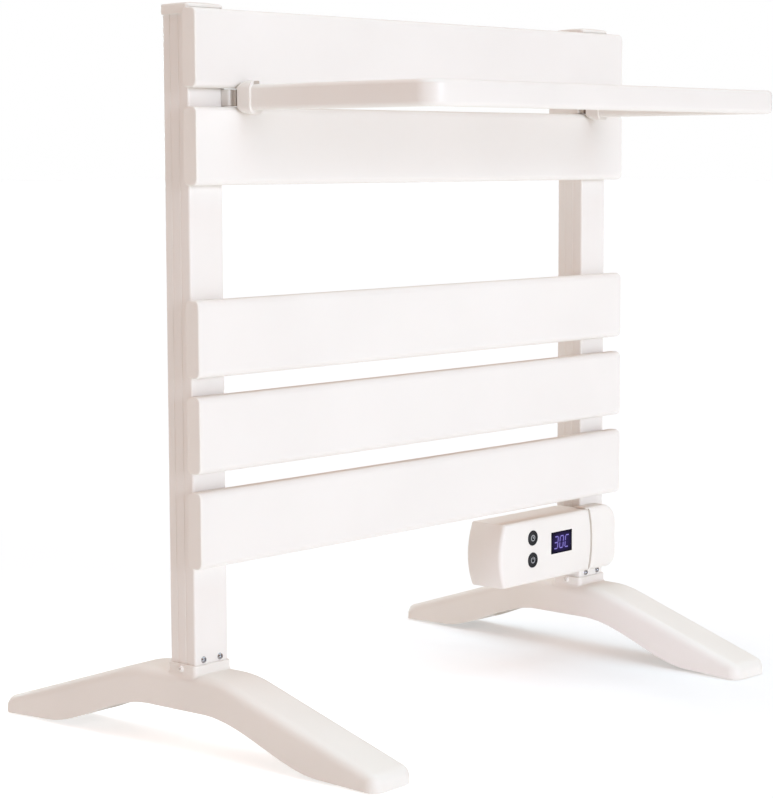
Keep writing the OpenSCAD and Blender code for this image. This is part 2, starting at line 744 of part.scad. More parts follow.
module control_rear_shell() {
    standoff_d = 5;
    color("white") at_face() difference() {
        union() {
            difference() {
                translate([0, ctrl_d, 0]) mirror([0, 1, 0]) rounded_half(ctrl_d - ctrl_split);
                slab_y(ctrl_split - cut, shell_back) ctrl_outline(ctrl_wall);
            }
            boss_places() translate([0, (ctrl_split + shell_back) / 2, 0])
                rod_y(boss_d, shell_back - ctrl_split);
            board_corners() translate([0, (board_back + shell_back) / 2, 0])
                rod_y(standoff_d, shell_back - board_back);
            // Pad that seats on the upright's inner face
            translate([mount_x, ctrl_split + cut, ctrl_mid - mount_half])
                cube([mount_t, ctrl_d - ctrl_split - ctrl_edge_r - cut, 2 * mount_half]);
        }
        boss_places() translate([0, ctrl_d, 0]) {
            rod_y(small_screw_d + 2 * fit_gap, 4 * ctrl_d);
            rod_y(head_bore, 2 * head_recess);
        }
        board_corners() translate([0, board_back, 0])
            rod_y(board_screw_d + 2 * fit_gap, 2 * (board_bite + seat_gap));
        translate([ctrl_right, upright_cy, ctrl_mid]) {
            rod_x(loom_d + 2 * lead_gap, 4 * mount_half);
            for (z = [-1, 1])
                translate([0, 0, z * mount_screw_dz]) rod_x(small_screw_d + 2 * fit_gap, 4 * mount_half);
        }
        gland_place() rod_y(gland_d + 2 * seat_gap, 4 * ctrl_wall);
    }
}

module cable_gland() {
    inside = 4;
    outside = 9;
    flange_t = 3;
    color("white") at_face() gland_place() difference() {
        union() {
            translate([0, (outside - ctrl_wall - inside) / 2, 0])
                rod_y(gland_d, outside + ctrl_wall + inside);
            translate([0, flange_t / 2, 0]) rod_y(1.5 * gland_d, flange_t);
        }
        rod_y(gland_bore, 4 * outside);
    }
}

// End cover over the front of the right upright
end_lip = 4;             // lip over the box's upper corner
end_face = 3.2;          // thickness of the cover's face
end_x0 = ctrl_right - seam_bulge - end_lip;
end_x1 = upright_out + end_overhang;
end_z1 = ctrl_z + ctrl_h + end_rise;
function end_points(inset) = concat(
    [[end_x0, ctrl_z + inset]],
    arc_points([end_x1 - end_bottom_r, ctrl_z + end_bottom_r], end_bottom_r - inset, -90, 0),
    arc_points([end_x1 - end_top_r, end_z1 - end_top_r], end_top_r - inset, 0, 90),
    [[end_x0, end_z1 - inset]]);

module control_end_cover() {
    rim = 5;
    cavity_x = [ctrl_right + rim, end_x1 - end_bottom_r];
    cavity_z = [ctrl_z + end_bottom_r, end_z1 - end_top_r - rim];
    r = ctrl_edge_r;
    color("white") at_face() difference() {
        loft(concat([for (t = [90 : -edge_turn : 0]) ring_at(end_points(r - r * cos(t)), r - r * sin(t))],
            [ring_at(end_points(0), panel_t)]));
        slab_y(-cut, panel_t + cut) ctrl_outline(-seam_gap);
        translate([cavity_x[0], end_face, cavity_z[0]])
            cube([cavity_x[1] - cavity_x[0], panel_t, cavity_z[1] - cavity_z[0]]);
        translate([upright_x, panel_t, ctrl_mid + end_screw_dz])
            rod_y(panel_screw_d + 2 * fit_gap, 2 * (screw_bite + seat_gap));
    }
}

// Pieces in and on the control box
window_rim = 1.5;
module display_window() {
    color("black") at_face() display_place() {
        translate([0, ctrl_wall / 2, 0]) cube([display_w, ctrl_wall, display_h], center = true);
        translate([0, ctrl_wall + window_rim / 2, 0])
            cube([display_w + 2 * window_rim, window_rim, display_h + 2 * window_rim], center = true);
    }
}

module display_module() {
    inset = 1;
    y0 = ctrl_wall + window_rim + seat_gap;
    color("dimgray") at_face() display_place() translate([0, (y0 + board_y) / 2, 0])
        cube([display_w - 2 * inset, board_y - y0, display_h - 2 * inset], center = true);
}

module control_board() {
    color("darkgreen") at_face() difference() {
        translate([board_x0, board_y, ctrl_z + board_rim])
            cube([board_x1 - board_x0, board_t, ctrl_h - 2 * board_rim]);
        board_corners() translate([0, board_y, 0]) rod_y(board_screw_d + 2 * fit_gap, 4 * board_t);
    }
}

module board_screws() {
    color("silver") at_face() board_corners() translate([0, board_y, 0])
        rotate([-90, 0, 0]) round_screw(board_screw_d, board_t + board_bite);
}

button_flange = 1;
button_lip = 1.5;        // rim behind the cover, past the button's edge
button_stem = 2;
stem_end = ctrl_wall + fit_gap + button_flange + button_stem;

// Round button with a rim behind the cover; k is 1 for the upper place and -1 for the lower
module round_button(k) {
    rim_y = ctrl_wall + fit_gap;
    z = ctrl_mid + button_dz + k * button_pitch / 2;
    color("black") at_face() translate([ctrl_left + button_x, 0, z]) {
        translate([0, (rim_y - button_proud) / 2, 0]) rod_y(button_d, rim_y + button_proud);
        translate([0, rim_y + button_flange / 2, 0]) rod_y(button_d + 2 * button_lip, button_flange);
        translate([0, stem_end - button_stem / 2, 0]) rod_y(button_d / 3, button_stem);
    }
}
module mode_button() round_button(1);
module power_button() round_button(-1);

module button_switches() {
    body_w = 6;
    body_h = 3.5;
    tip = stem_end + button_travel + seat_gap;
    color("dimgray") at_face() button_places() {
        translate([0, board_y - body_h / 2, 0]) cube([body_w, body_h, body_w], center = true);
        translate([0, (tip + board_y) / 2, 0]) rod_y(body_w / 2, board_y - tip);
    }
}

module terminal_block() {
    color("dimgray") at_face() translate([terminal_x0, board_back, ctrl_mid - terminal_half])
        cube([terminal_w, shell_back - ctrl_side_gap - board_back, 2 * terminal_half]);
}

module control_relay() {
    x = terminal_x0 - relay_gap - relay_size[0];
    color("dimgray") at_face() translate([x, board_back, ctrl_mid - relay_size[2] / 2]) cube(relay_size);
}

module cover_screws() {
    head = ctrl_d - head_recess;
    color("silver") at_face() boss_places() translate([0, head, 0])
        rotate([90, 0, 0]) round_screw(small_screw_d, head - ctrl_split + screw_bite);
}

module control_fixing_screws() {
    color("silver") at_face() {
        for (z = [-1, 1])
            translate([mount_x, upright_cy, ctrl_mid + z * mount_screw_dz])
                rotate([0, 90, 0]) round_screw(small_screw_d, mount_t + upright_wall + screw_through);
        translate([upright_x, upright_back, ctrl_mid + end_screw_dz])
            rotate([90, 0, 0]) round_screw(panel_screw_d, upright_d + screw_bite);
    }
}

// Loom from the terminal block into the right upright and up to every heater bar
module wiring_loom() {
    run_x = upright_x + loom_dx;
    lead_end = panel_t - panel_wall;
    color("firebrick") at_face() {
        translate([run_x, upright_cy, ctrl_mid]) cylinder(d = loom_d, h = panel_mid(1) - ctrl_mid);
        for (z = [ctrl_mid, panel_mid(1)]) translate([run_x, upright_cy, z]) sphere(d = loom_d);
        translate([(terminal_x1 + seat_gap + run_x) / 2, upright_cy, ctrl_mid])
            rod_x(loom_d, run_x - terminal_x1 - seat_gap);
        for (i = [1 : panel_count])
            translate([run_x, (lead_end + upright_cy) / 2, panel_mid(i)])
                rod_y(lead_d, upright_cy - lead_end);
    }
}

heating_panel(1);  // heating_panel_1
heating_panel(2);  // heating_panel_2
heating_panel(3);  // heating_panel_3
heating_panel(4);  // heating_panel_4
heating_panel(5);  // heating_panel_5
heater_bar(1);  // heater_bar_1
heater_bar(2);  // heater_bar_2
heater_bar(3);  // heater_bar_3
heater_bar(4);  // heater_bar_4
heater_bar(5);  // heater_bar_5
end_caps(-1);  // left_end_caps
end_caps(1);  // right_end_caps
upright(-1);  // left_upright
upright(1);  // right_upright
top_cap(-1);  // left_top_cap
top_cap(1);  // right_top_cap
panel_screws(-1);  // left_panel_screws
panel_screws(1);  // right_panel_screws
foot(-1);  // left_foot
foot(1);  // right_foot
foot_insert(-1);  // left_foot_insert
foot_insert(1);  // right_foot_insert
foot_screws(-1);  // left_foot_screws
foot_screws(1);  // right_foot_screws
foot_pads(-1);  // left_foot_pads
foot_pads(1);  // right_foot_pads
hinge_bracket(-1);  // left_hinge_bracket
hinge_bracket(1);  // right_hinge_bracket
hinge_screws(-1);  // left_hinge_screws
hinge_screws(1);  // right_hinge_screws
towel_bar();
bar_knuckle(-1);  // left_bar_knuckle
bar_knuckle(1);  // right_bar_knuckle
hinge_pin(-1);  // left_hinge_pin
hinge_pin(1);  // right_hinge_pin
control_rear_shell();
control_front_cover();
control_end_cover();
display_window();
display_module();
control_board();
board_screws();
power_button();
mode_button();
button_switches();
terminal_block();
control_relay();
cover_screws();
control_fixing_screws();
cable_gland();
wiring_loom();
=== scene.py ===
# %% [markdown]
# # A free-standing heated towel rail, dressed in Blender
# The real object is a bathroom rail: five flat heated panels on two box-section uprights, arched
# plastic feet, a U-shaped towel bar that folds up, and a control box with a display and two buttons.
# The CAD model gives every place and size. This lesson loads it as a fixed frame, gives each piece the
# finish that it has on the real rail, and rebuilds in numpy the pieces whose soft edges catch the light.

# %% Load the frame
import json

import bmesh
import bpy
import numpy as np
from mathutils import Matrix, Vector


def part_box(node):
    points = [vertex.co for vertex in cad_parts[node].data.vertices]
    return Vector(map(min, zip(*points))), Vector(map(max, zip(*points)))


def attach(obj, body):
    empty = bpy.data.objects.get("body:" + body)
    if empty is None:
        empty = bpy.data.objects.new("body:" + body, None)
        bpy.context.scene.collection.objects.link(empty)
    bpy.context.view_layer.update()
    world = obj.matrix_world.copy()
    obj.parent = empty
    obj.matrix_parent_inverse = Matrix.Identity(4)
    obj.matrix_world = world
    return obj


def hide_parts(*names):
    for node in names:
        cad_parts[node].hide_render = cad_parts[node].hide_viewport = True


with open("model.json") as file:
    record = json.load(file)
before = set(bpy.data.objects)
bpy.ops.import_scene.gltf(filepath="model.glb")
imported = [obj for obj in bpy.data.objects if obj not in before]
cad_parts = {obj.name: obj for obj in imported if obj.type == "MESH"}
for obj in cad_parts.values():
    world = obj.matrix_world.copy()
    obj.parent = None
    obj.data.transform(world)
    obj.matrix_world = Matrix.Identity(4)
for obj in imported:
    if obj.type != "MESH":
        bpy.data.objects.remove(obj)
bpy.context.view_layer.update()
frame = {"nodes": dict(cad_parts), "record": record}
nodes = frame["nodes"]

# %% [markdown]
# ## The rail's own sizes
# Numbers that several pieces share are named once, in metres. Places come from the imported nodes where
# a node shows them, so a piece lands on what carries it without any fitting by eye. At the end of a
# name, w, d, h, t and r stand for width, depth, height, thickness and radius.

# %% Shared sizes
MM = 0.001
panel_low, panel_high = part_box("heating_panel_1")
panel_t, panel_h, panel_edge_r = panel_high.y - panel_low.y, panel_high.z - panel_low.z, 5 * MM
face_y = panel_low.y                              # the plane of the panels' faces
panel_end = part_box("right_end_caps")[1].x
panel_mids = np.array([sum(c.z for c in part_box(f"heating_panel_{i}")) / 2 for i in range(1, 6)])
upright_low, upright_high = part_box("right_upright")
upright_w, upright_d = upright_high.x - upright_low.x, upright_high.y - upright_low.y
upright_x = (upright_low.x + upright_high.x) / 2
upright_y = (upright_low.y + upright_high.y) / 2
upright_top, upright_edge_r = upright_high.z, 1.8 * MM
print(f"face at y {face_y:.4f}, uprights at x {upright_x:.4f}, y {upright_y:.4f}, top {upright_top:.4f}")

# %% [markdown]
# ## Small helpers for materials
# A node material is easier to read when adding a node takes one line. One function turns a colour that
# is written as sRGB hex into the linear values that Blender's sockets expect, and one adds any kind of
# node with its settings and links.

# %% Material helpers
def linear(code):
    """Linear RGBA of an sRGB hex colour: c / 12.92 up to 0.04045, and ((c + 0.055) / 1.055) ** 2.4 above."""
    c = np.array([int(code[i:i + 2], 16) / 255 for i in (1, 3, 5)])
    c = np.where(c <= 0.04045, c / 12.92, ((c + 0.055) / 1.055) ** 2.4)
    return (*c.tolist(), 1.0)


def add(tree, kind, inputs=None, stops=(), **settings):
    """Adds a shader node. Settings are its properties, inputs maps a socket to a value or to another socket,
    and stops are the positions and hex colours of a colour ramp."""
    node = tree.nodes.new("ShaderNode" + kind)
    for key, value in settings.items():
        setattr(node, key, value)
    for key, value in (inputs or {}).items():
        if isinstance(value, bpy.types.NodeSocket):
            tree.links.new(value, node.inputs[key])
        else:
            node.inputs[key].default_value = value
    for i, (position, code) in enumerate(stops):
        node.color_ramp.elements[i].position = position
        node.color_ramp.elements[i].color = linear(code)
    return node


def start_material(name, **surface):
    """A material with one Principled shader, whose even values are set on its own sockets."""
    material = bpy.data.materials.new(name)
    material.use_nodes = True
    shader = material.node_tree.nodes["Principled BSDF"]
    for key, value in surface.items():
        shader.inputs[key.replace("_", " ")].default_value = value
    return material, material.node_tree, shader


def per_metre(size_mm):
    """Noise scale for blobs of about that many millimetres, since a blob is about 1 / scale metres wide."""
    return 1000 / size_mm


# %% [markdown]
# ## White powder coat on steel
# Panels, uprights, bar and hinges are steel with a baked powder coat. The powder flows as it melts, which
# leaves a satin skin with a faint "orange peel", and its tone is never perfectly even over a long panel.
# An even white would look like plastic sheet, so slow clouds shift the tone and the gloss a little, and
# a low bump gives the peel. The peel is about 1 mm on the real rail; it is drawn at 3 mm so that it shows.

# %% White powder coat
def powder_coat(name, tone_a, tone_b):
    """Clouds of 140 mm mix two close tones, the same clouds vary roughness, and 3 mm noise lifts the peel."""
    material, tree, shader = start_material(name, IOR=1.5)
    place = add(tree, "TexCoord").outputs["Object"]
    clouds = add(tree, "TexNoise", {"Vector": place, "Scale": per_metre(140), "Detail": 3.0}).outputs["Fac"]
    tone = add(tree, "ValToRGB", {"Fac": clouds}, stops=[(0.3, tone_a), (0.7, tone_b)])
    tree.links.new(tone.outputs["Color"], shader.inputs["Base Color"])
    gloss = add(tree, "MapRange", {"Value": clouds, "To Min": 0.36, "To Max": 0.46})
    tree.links.new(gloss.outputs["Result"], shader.inputs["Roughness"])
    peel = add(tree, "TexNoise", {"Vector": place, "Scale": per_metre(3), "Detail": 1.0}).outputs["Fac"]
    bump = add(tree, "Bump", {"Height": peel, "Strength": 0.05, "Distance": 0.3 * MM})
    tree.links.new(bump.outputs["Normal"], shader.inputs["Normal"])
    return material


white_coat = powder_coat("satin_powder_coat_on_steel", "#EAE4DD", "#EEE8E1")
print("made", white_coat.name)

# %% [markdown]
# ## White moulded ABS and the other plastics
# Caps, feet and the control box are injection-moulded ABS. The tool was spark-eroded to a fine matt grain,
# so the plastic scatters light softly and shows no peel. Real grain is near 0.1 mm; 1.2 mm is drawn so that
# the render can resolve it, with a very low bump. The same function with other tones and gloss gives the
# satin black of the buttons, the dull nylon of the inner blocks, the brown-grey sleeve that is painted shade
# in the hinge's slit, the rubber of the pads, the silicone on the leads and the solder mask on the board.

# %% Moulded plastics
def moulded_plastic(name, tone_a, tone_b, rough_min, rough_max, grain_strength, sheen=0.5):
    """Clouds of 60 mm mix two close tones, and a fine noise varies roughness and lifts the moulded grain."""
    material, tree, shader = start_material(name, IOR=1.52, Specular_IOR_Level=sheen)
    place = add(tree, "TexCoord").outputs["Object"]
    clouds = add(tree, "TexNoise", {"Vector": place, "Scale": per_metre(60), "Detail": 2.0}).outputs["Fac"]
    tone = add(tree, "ValToRGB", {"Fac": clouds}, stops=[(0.3, tone_a), (0.7, tone_b)])
    tree.links.new(tone.outputs["Color"], shader.inputs["Base Color"])
    grain = add(tree, "TexNoise", {"Vector": place, "Scale": per_metre(1.2), "Detail": 2.0}).outputs["Fac"]
    gloss = add(tree, "MapRange", {"Value": grain, "To Min": rough_min, "To Max": rough_max})
    tree.links.new(gloss.outputs["Result"], shader.inputs["Roughness"])
    bump = add(tree, "Bump", {"Height": grain, "Strength": grain_strength, "Distance": 0.1 * MM})
    tree.links.new(bump.outputs["Normal"], shader.inputs["Normal"])
    return material


white_abs = moulded_plastic("fine_matt_moulded_abs_white", "#EBE5DD", "#EEE8E0", 0.46, 0.58, 0.10)
black_abs = moulded_plastic("satin_moulded_abs_black", "#151517", "#1A1A1D", 0.30, 0.42, 0.10, 0.2)
dark_nylon = moulded_plastic("glass_filled_nylon_dark_grey", "#2A2A2D", "#333337", 0.55, 0.72, 0.25)
# painted shade: this brown-grey stands in for the shade in the hinge's slit behind the knuckle
painted_shade_brown = moulded_plastic("painted_slit_shade_brown_grey", "#77695F", "#83756A", 0.50, 0.65, 0.15)
pad_rubber = moulded_plastic("moulded_rubber_grey", "#77787A", "#818284", 0.75, 0.90, 0.40)
lead_sheath = moulded_plastic("extruded_silicone_sheath_red", "#7E2C24", "#8A332A", 0.40, 0.52, 0.10)
board_green = moulded_plastic("solder_mask_on_laminate_green", "#14401F", "#1B4C27", 0.28, 0.40, 0.10)
print("made", white_abs.name, black_abs.name, dark_nylon.name, painted_shade_brown.name, pad_rubber.name,
      lead_sheath.name, board_green.name)

# %% [markdown]
# ## Plated and mill-finish metal
# The screws are cold-headed steel with a thin zinc plate: grey, bright where it faces a light, a little
# mottled where the plate is thin. The heater bars are aluminium as it leaves the die, with fine lines
# along their length. Both keep the default IOR, because a metal's colour comes from its base colour.

# %% Metals
def bare_metal(name, tone_a, tone_b, rough_min, rough_max, stretch):
    """Noise of 2 mm, stretched along X, mixes two greys and varies roughness as on a drawn or plated face."""
    material, tree, shader = start_material(name, Metallic=1.0)
    place = add(tree, "TexCoord").outputs["Object"]
    drawn = add(tree, "Mapping", {"Vector": place, "Scale": (1 / stretch, 1.0, 1.0)}).outputs["Vector"]
    grain = add(tree, "TexNoise", {"Vector": drawn, "Scale": per_metre(2), "Detail": 3.0}).outputs["Fac"]
    tone = add(tree, "ValToRGB", {"Fac": grain}, stops=[(0.35, tone_a), (0.65, tone_b)])
    tree.links.new(tone.outputs["Color"], shader.inputs["Base Color"])
    gloss = add(tree, "MapRange", {"Value": grain, "To Min": rough_min, "To Max": rough_max})
    tree.links.new(gloss.outputs["Result"], shader.inputs["Roughness"])
    return material


zinc_steel = bare_metal("zinc_plated_steel", "#A6A7AA", "#C4C5C8", 0.18, 0.30, 1)
mill_aluminium = bare_metal("extruded_aluminium_mill_finish", "#A9ABAE", "#BFC1C4", 0.30, 0.45, 12)
print("made", zinc_steel.name, mill_aluminium.name)

# %% [markdown]
# ## The lit display
# The window is a tinted acrylic sheet, so it looks black. Light-emitting segments behind it show violet
# through the tint, brightest in the middle of each bar, while a faint painted glow keeps the unlit bars just
# visible. One emissive piece lies on the window for the lit bars, one with the painted glow for the unlit
# ones, and a wide dim sheet behind both is the halo that the tinted acrylic scatters. The ink of the buttons'
# signs is a plain matt grey.

# %% Display materials
window_acrylic = moulded_plastic("tinted_acrylic_black", "#05040A", "#070510", 0.06, 0.10, 0.0, 0.03)
icon_ink = moulded_plastic("pad_printed_ink_grey", "#A8A8AA", "#B4B4B6", 0.45, 0.55, 0.0)


def led_bars(name, edge_code, middle_code):
    """The bar attribute runs from 0 at a bar's edge to 1 along its middle and mixes two emission colours."""
    material, tree, shader = start_material(name, Base_Color=linear("#05040A"), Roughness=0.25,
                                            Specular_IOR_Level=0.03, Emission_Strength=1.0)
    bar = add(tree, "Attribute", attribute_name="bar").outputs["Fac"]
    glow = add(tree, "ValToRGB", {"Fac": bar}, stops=[(0.0, edge_code), (1.0, middle_code)])
    tree.links.new(glow.outputs["Color"], shader.inputs["Emission Color"])
    return material


lit_bars = led_bars("led_bars_violet_lit", "#4C3FA4", "#A79CE8")
# painted glow: the unlit bars emit a faint light of their own, so they stay just visible
unlit_bars_painted_glow = led_bars("led_bars_unlit_painted_glow", "#1A1436", "#221A48")
led_halo = led_bars("led_halo_in_tinted_acrylic", "#020105", "#33265F")
print("made", window_acrylic.name, icon_ink.name, lit_bars.name, unlit_bars_painted_glow.name, led_halo.name)

# %% [markdown]
# ## Finishes for the CAD nodes
# The record names a material slot for every node. Each slot gets one of the finishes above, and the nodes'
# own meshes stay as they are.

# %% Dress the nodes by slot
slot_finish = {
    "white_enamel": white_coat, "white_plastic": white_abs, "heater_metal": mill_aluminium,
    "screw_steel": zinc_steel, "dark_plastic": dark_nylon, "pad_rubber": pad_rubber,
    "black_gloss": window_acrylic, "board_laminate": board_green, "lead_sheath": lead_sheath,
}
node_slot = {part["node"]: part["material_slot"] for part in frame["record"]["subparts"]}
for name, node in nodes.items():
    node.data.materials.clear()
    node.data.materials.append(slot_finish[node_slot[name]])
print("dressed", len(nodes), "nodes in", len(set(node_slot.values())), "finishes")

# %% [markdown]
# ## From arrays to pieces
# A ring is a closed row of points, and a stack of rings is a surface. Whole arrays of rings turn into
# vertices and four-cornered faces at once, and flat faces close the two ends. A piece is then merged, its
# faces are turned outwards, edges sharper than a given angle stay crisp, and it rides on its body. Most
# pieces come in pairs, so one side is worked out and the other is its mirror image.

# %% Mesh helpers
weld = 0.001 * MM                                 # points closer than this become one


def skin(rings, closed=True, caps=True):
    """Vertices and faces through rings of shape (rows, columns, 3): quad (i, j) joins rings i and i + 1."""
    rows, columns = rings.shape[:2]
    index = np.arange(rows * columns).reshape(rows, columns)
    here = index if closed else index[:, :-1]
    after = np.roll(index, -1, axis=1) if closed else index[:, 1:]
    quads = np.stack([here[:-1], after[:-1], after[1:], here[1:]], axis=-1).reshape(-1, 4).tolist()
    ends = [index[0, ::-1].tolist(), index[-1].tolist()] if caps else []
    return rings.reshape(-1, 3), quads + ends


def join(skins):
    """Several skins as one: each one's face numbers move up by the vertices before it."""
    starts = np.cumsum([0] + [len(points) for points, _ in skins])
    faces = [[int(start) + k for k in face]
             for (_, found), start in zip(skins, starts) for face in found]
    return np.concatenate([points for points, _ in skins]), faces


def mirrored(made):
    """The same skin on the other side: x changes sign, and each face's order turns round."""
    points, faces = made
    return points * (-1, 1, 1), [face[::-1] for face in faces]


def piece(name, made, finish, body="root", stands_for=(), sharp=35):
    """An object from vertices and faces: merged, turned outwards, smooth up to the sharp angle in degrees."""
    mesh = bpy.data.meshes.new(name)
    mesh.from_pydata(made[0].tolist(), [], made[1])
    work = bmesh.new()
    work.from_mesh(mesh)
    bmesh.ops.remove_doubles(work, verts=work.verts, dist=weld)
    bmesh.ops.recalc_face_normals(work, faces=work.faces)
    work.to_mesh(mesh)
    work.free()
    mesh.shade_smooth()
    mesh.set_sharp_from_angle(angle=np.radians(sharp))
    mesh.materials.append(finish)
    obj = bpy.data.objects.new(name, mesh)
    bpy.context.scene.collection.objects.link(obj)
    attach(obj, body)
    if stands_for:
        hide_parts(*stands_for)
    print(f"{name}: {len(mesh.vertices)} vertices, {len(mesh.polygons)} faces")
    return obj


def pair(name, right_made, finish, stands_for=None, sharp=35):
    """The right piece as it was made and its mirror image on the left, each for its own side's node."""
    for side, made in (("right", right_made), ("left", mirrored(right_made))):
        replaced = [f"{side}_{stands_for}"] if stands_for else ()
        piece(f"{side}_{name}", made, finish, stands_for=replaced, sharp=sharp)


def rounded_outline(w, h, r, steps=8):
    """Closed rounded rectangle, anticlockwise: four quarter circles of radius r round the corner centres."""
    turn = np.radians(np.linspace(0, 90, steps + 1))
    quarter = np.arange(4)[:, None]
    angle = turn + quarter * np.pi / 2
    centre_x = np.array([1, -1, -1, 1])[:, None] * (w / 2 - r)
    centre_y = np.array([1, 1, -1, -1])[:, None] * (h / 2 - r)
    return np.stack([centre_x + r * np.cos(angle), centre_y + r * np.sin(angle)], axis=-1).reshape(-1, 2)


# %% [markdown]
# ## Panel end caps
# Each panel is a hollow extrusion, closed at both ends by a moulded cap. The cap's rim is slightly rounded,
# and that rim is the bright line along the front edge of every panel's end. The cap is the panel's outline
# carried outwards over a small quarter circle, with the same outline at all five heights.

# %% Panel end caps
def end_cap(z):
    """Rings along X: the panel's outline, shrunk over a quarter circle at the rim, then a row that holds the
    outer face flat."""
    cap_t, rim_r, hold = 2 * MM, 1.1 * MM, 0.4 * MM
    turn = np.radians(np.linspace(0, 90, 7))
    inset = np.concatenate([[0], rim_r - rim_r * np.cos(turn), [rim_r + hold]])
    out = np.concatenate([[0], cap_t - rim_r + rim_r * np.sin(turn), [cap_t]])
    flat = np.array([rounded_outline(panel_t - 2 * a, panel_h - 2 * a, panel_edge_r - a) for a in inset])
    x = np.broadcast_to((panel_end - cap_t + out)[:, None], flat.shape[:2])
    return skin(np.stack([x, flat[..., 0] + face_y + panel_t / 2, flat[..., 1] + z], axis=-1))


pair("panel_end_caps", join([end_cap(z) for z in panel_mids]), white_abs, "end_caps")

# %% [markdown]
# ## Crowned top caps
# A cap closes each upright. Its top is slightly domed so that water runs off, its rim is rounded, and a
# skirt hangs down the back and both sides. The dome is a stack of shrinking outlines whose height follows a
# parabola, and the skirt is a thin wall carried along three sides of the upright.

# %% Top caps
cap_lip, cap_plate_t, cap_crown, cap_skirt_h = 1.6 * MM, 2.4 * MM, 1.9 * MM, 5.4 * MM


def cap_dome():
    """Shrinking outlines: a rim turned by 77 degrees meets a dome whose height is crown * (1 - share^2)."""
    rim_r, corner_r = 1.0 * MM, 3.4 * MM
    w, d = upright_w + 2 * cap_lip, upright_d + 2 * cap_lip
    turn = np.radians(np.linspace(0, 77, 7))
    inset = np.append(0, rim_r * (1 - np.cos(turn)))
    rise = np.append(0, cap_plate_t - rim_r + rim_r * np.sin(turn))
    rim = [rounded_outline(w - 2 * a, d - 2 * a, corner_r - a) for a in inset]
    share = np.linspace(0.94, 0.02, 14)
    flat = np.array(rim + [rim[-1] * k for k in share])
    dome = rise[-1] + (cap_plate_t + cap_crown - rise[-1]) * (1 - share ** 2)
    z = np.broadcast_to(upright_top + np.concatenate([rise, dome])[:, None], flat.shape[:2])
    return skin(np.stack([flat[..., 0] + upright_x, flat[..., 1] + upright_y, z], axis=-1))


def three_sides(grow):
    """The upright's outline, grown by a distance, from the front right, round the back, to the front left."""
    line = rounded_outline(upright_w + 2 * grow, upright_d + 2 * grow, upright_edge_r + grow)
    half = len(line) // 2
    front = -upright_d / 2 + 0.2 * MM
    return np.concatenate([[[line[0, 0], front]], line[:half], [[line[half - 1, 0], front]]])


def cap_skirt():
    """A thin wall carried along three sides of the upright: each path point is a ring of four corners."""
    gap = 0.15 * MM
    inner, outer = three_sides(gap), three_sides(cap_lip)
    low, high = upright_top - cap_skirt_h, upright_top
    corners = [(inner, low), (outer, low), (outer, high), (inner, high)]
    wall = np.stack([np.column_stack([path, np.full(len(path), z)]) for path, z in corners], axis=1)
    return skin(wall + (upright_x, upright_y, 0))


pair("crowned_cap", join([cap_dome(), cap_skirt()]), white_abs, "top_cap")

# %% [markdown]
# ## The outline of an arched foot
# The feet are the most shaped pieces of the rail: a level crown under the upright, two long legs that slope
# down to rounded toes, and an arch underneath. Carving them from a block would need many cuts. Here the
# height of the top, the height of the underside and the rounding of the toes are functions of the distance
# from the middle, so one set of numbers describes the whole outline.

# %% Foot formulas
foot_half, foot_w, foot_crown, foot_shift = 206.5 * MM, 47.6 * MM, 63.5 * MM, 4.8 * MM
tip_z, shoulder, blend_half = 12.8 * MM, 49 * MM, 15 * MM
arch_z, arch_flat, arch_end = 34.5 * MM, 30 * MM, 150 * MM
toe_r, toe_top_r, long_edge_r = 10 * MM, 6 * MM, 9 * MM
toe_gap, toe_slope = 0.7 * MM, 0.035              # the toe's underside: height at its tip, and slope
splay = np.radians(2.3)


def round_off(a, r):
    """How far a rounded end of radius r pulls in at distance a from the middle: r - sqrt(r^2 - overrun^2)."""
    over = np.clip(a - foot_half + r, 0, r)
    return r - np.sqrt(r * r - over * over)


def foot_top(a):
    """Crown height less the slope's drop, with a parabola over the turn between crown and slope."""
    slope = (foot_crown - tip_z) / (foot_half - shoulder)
    turn = np.clip(a - shoulder + blend_half, 0, 2 * blend_half)
    return foot_crown - slope * (turn ** 2 / (4 * blend_half) + np.maximum(0, a - shoulder - blend_half))


def foot_under(a):
    """A smooth step from the arch's height to the toe's slightly lifted underside."""
    t = np.clip((a - arch_flat) / (arch_end - arch_flat), 0, 1)
    t = t * t * (3 - 2 * t)
    return arch_z * (1 - t) + (toe_gap + toe_slope * (foot_half - a)) * t


print(f"foot top {foot_top(np.array([0, foot_half]))}, underside {foot_under(np.array([0, foot_half]))}")

# %% [markdown]
# ## The shell of a foot and its collar
# Such a moulding has soft long edges, and underneath it is hollow with ribs. A cross-section carried along
# the foot gives the outside. The inner roof is part of the same ring, and it drops to the underside where
# the foot is solid, so ribs and toes come out of one formula. The collar is a wall round the upright's base.

# %% Foot shells
foot_wall, foot_roof, rib_t, collar_wall = 3 * MM, 5 * MM, 3 * MM, 1.95 * MM
first_pocket, last_pocket, pockets = 36 * MM, 164.5 * MM, 3               # the hollows of one leg
pocket_len = (last_pocket - first_pocket - (pockets - 1) * rib_t) / pockets
pocket_start = first_pocket + np.arange(pockets) * (pocket_len + rib_t)
pocket_end = pocket_start + pocket_len


def foot_stations():
    """Distances along the foot with a hollow flag. A pocket's edge is there twice, once solid and once
    hollow, so a rib's face is upright: solid comes first where a pocket starts, and last where it ends."""
    plain = np.linspace(0, foot_half - toe_r, 120)
    toe = foot_half - toe_r + toe_r * np.sin(np.radians(np.linspace(6, 90, 12)))
    half = np.concatenate([plain, toe, pocket_start, pocket_end, pocket_start, pocket_end])
    inside = np.any([(plain > a) & (plain < b) for a, b in zip(pocket_start, pocket_end)], axis=0)
    hollow = np.concatenate([inside, np.zeros(len(toe) + 2 * pockets), np.ones(2 * pockets)])
    turn = np.concatenate([np.zeros(len(plain) + len(toe)), np.repeat([-1, 1, 1, -1], pockets)])
    order = np.lexsort((turn, half))
    half, hollow = half[order], hollow[order]
    return np.concatenate([-half[:0:-1], half]), np.concatenate([hollow[:0:-1], hollow])


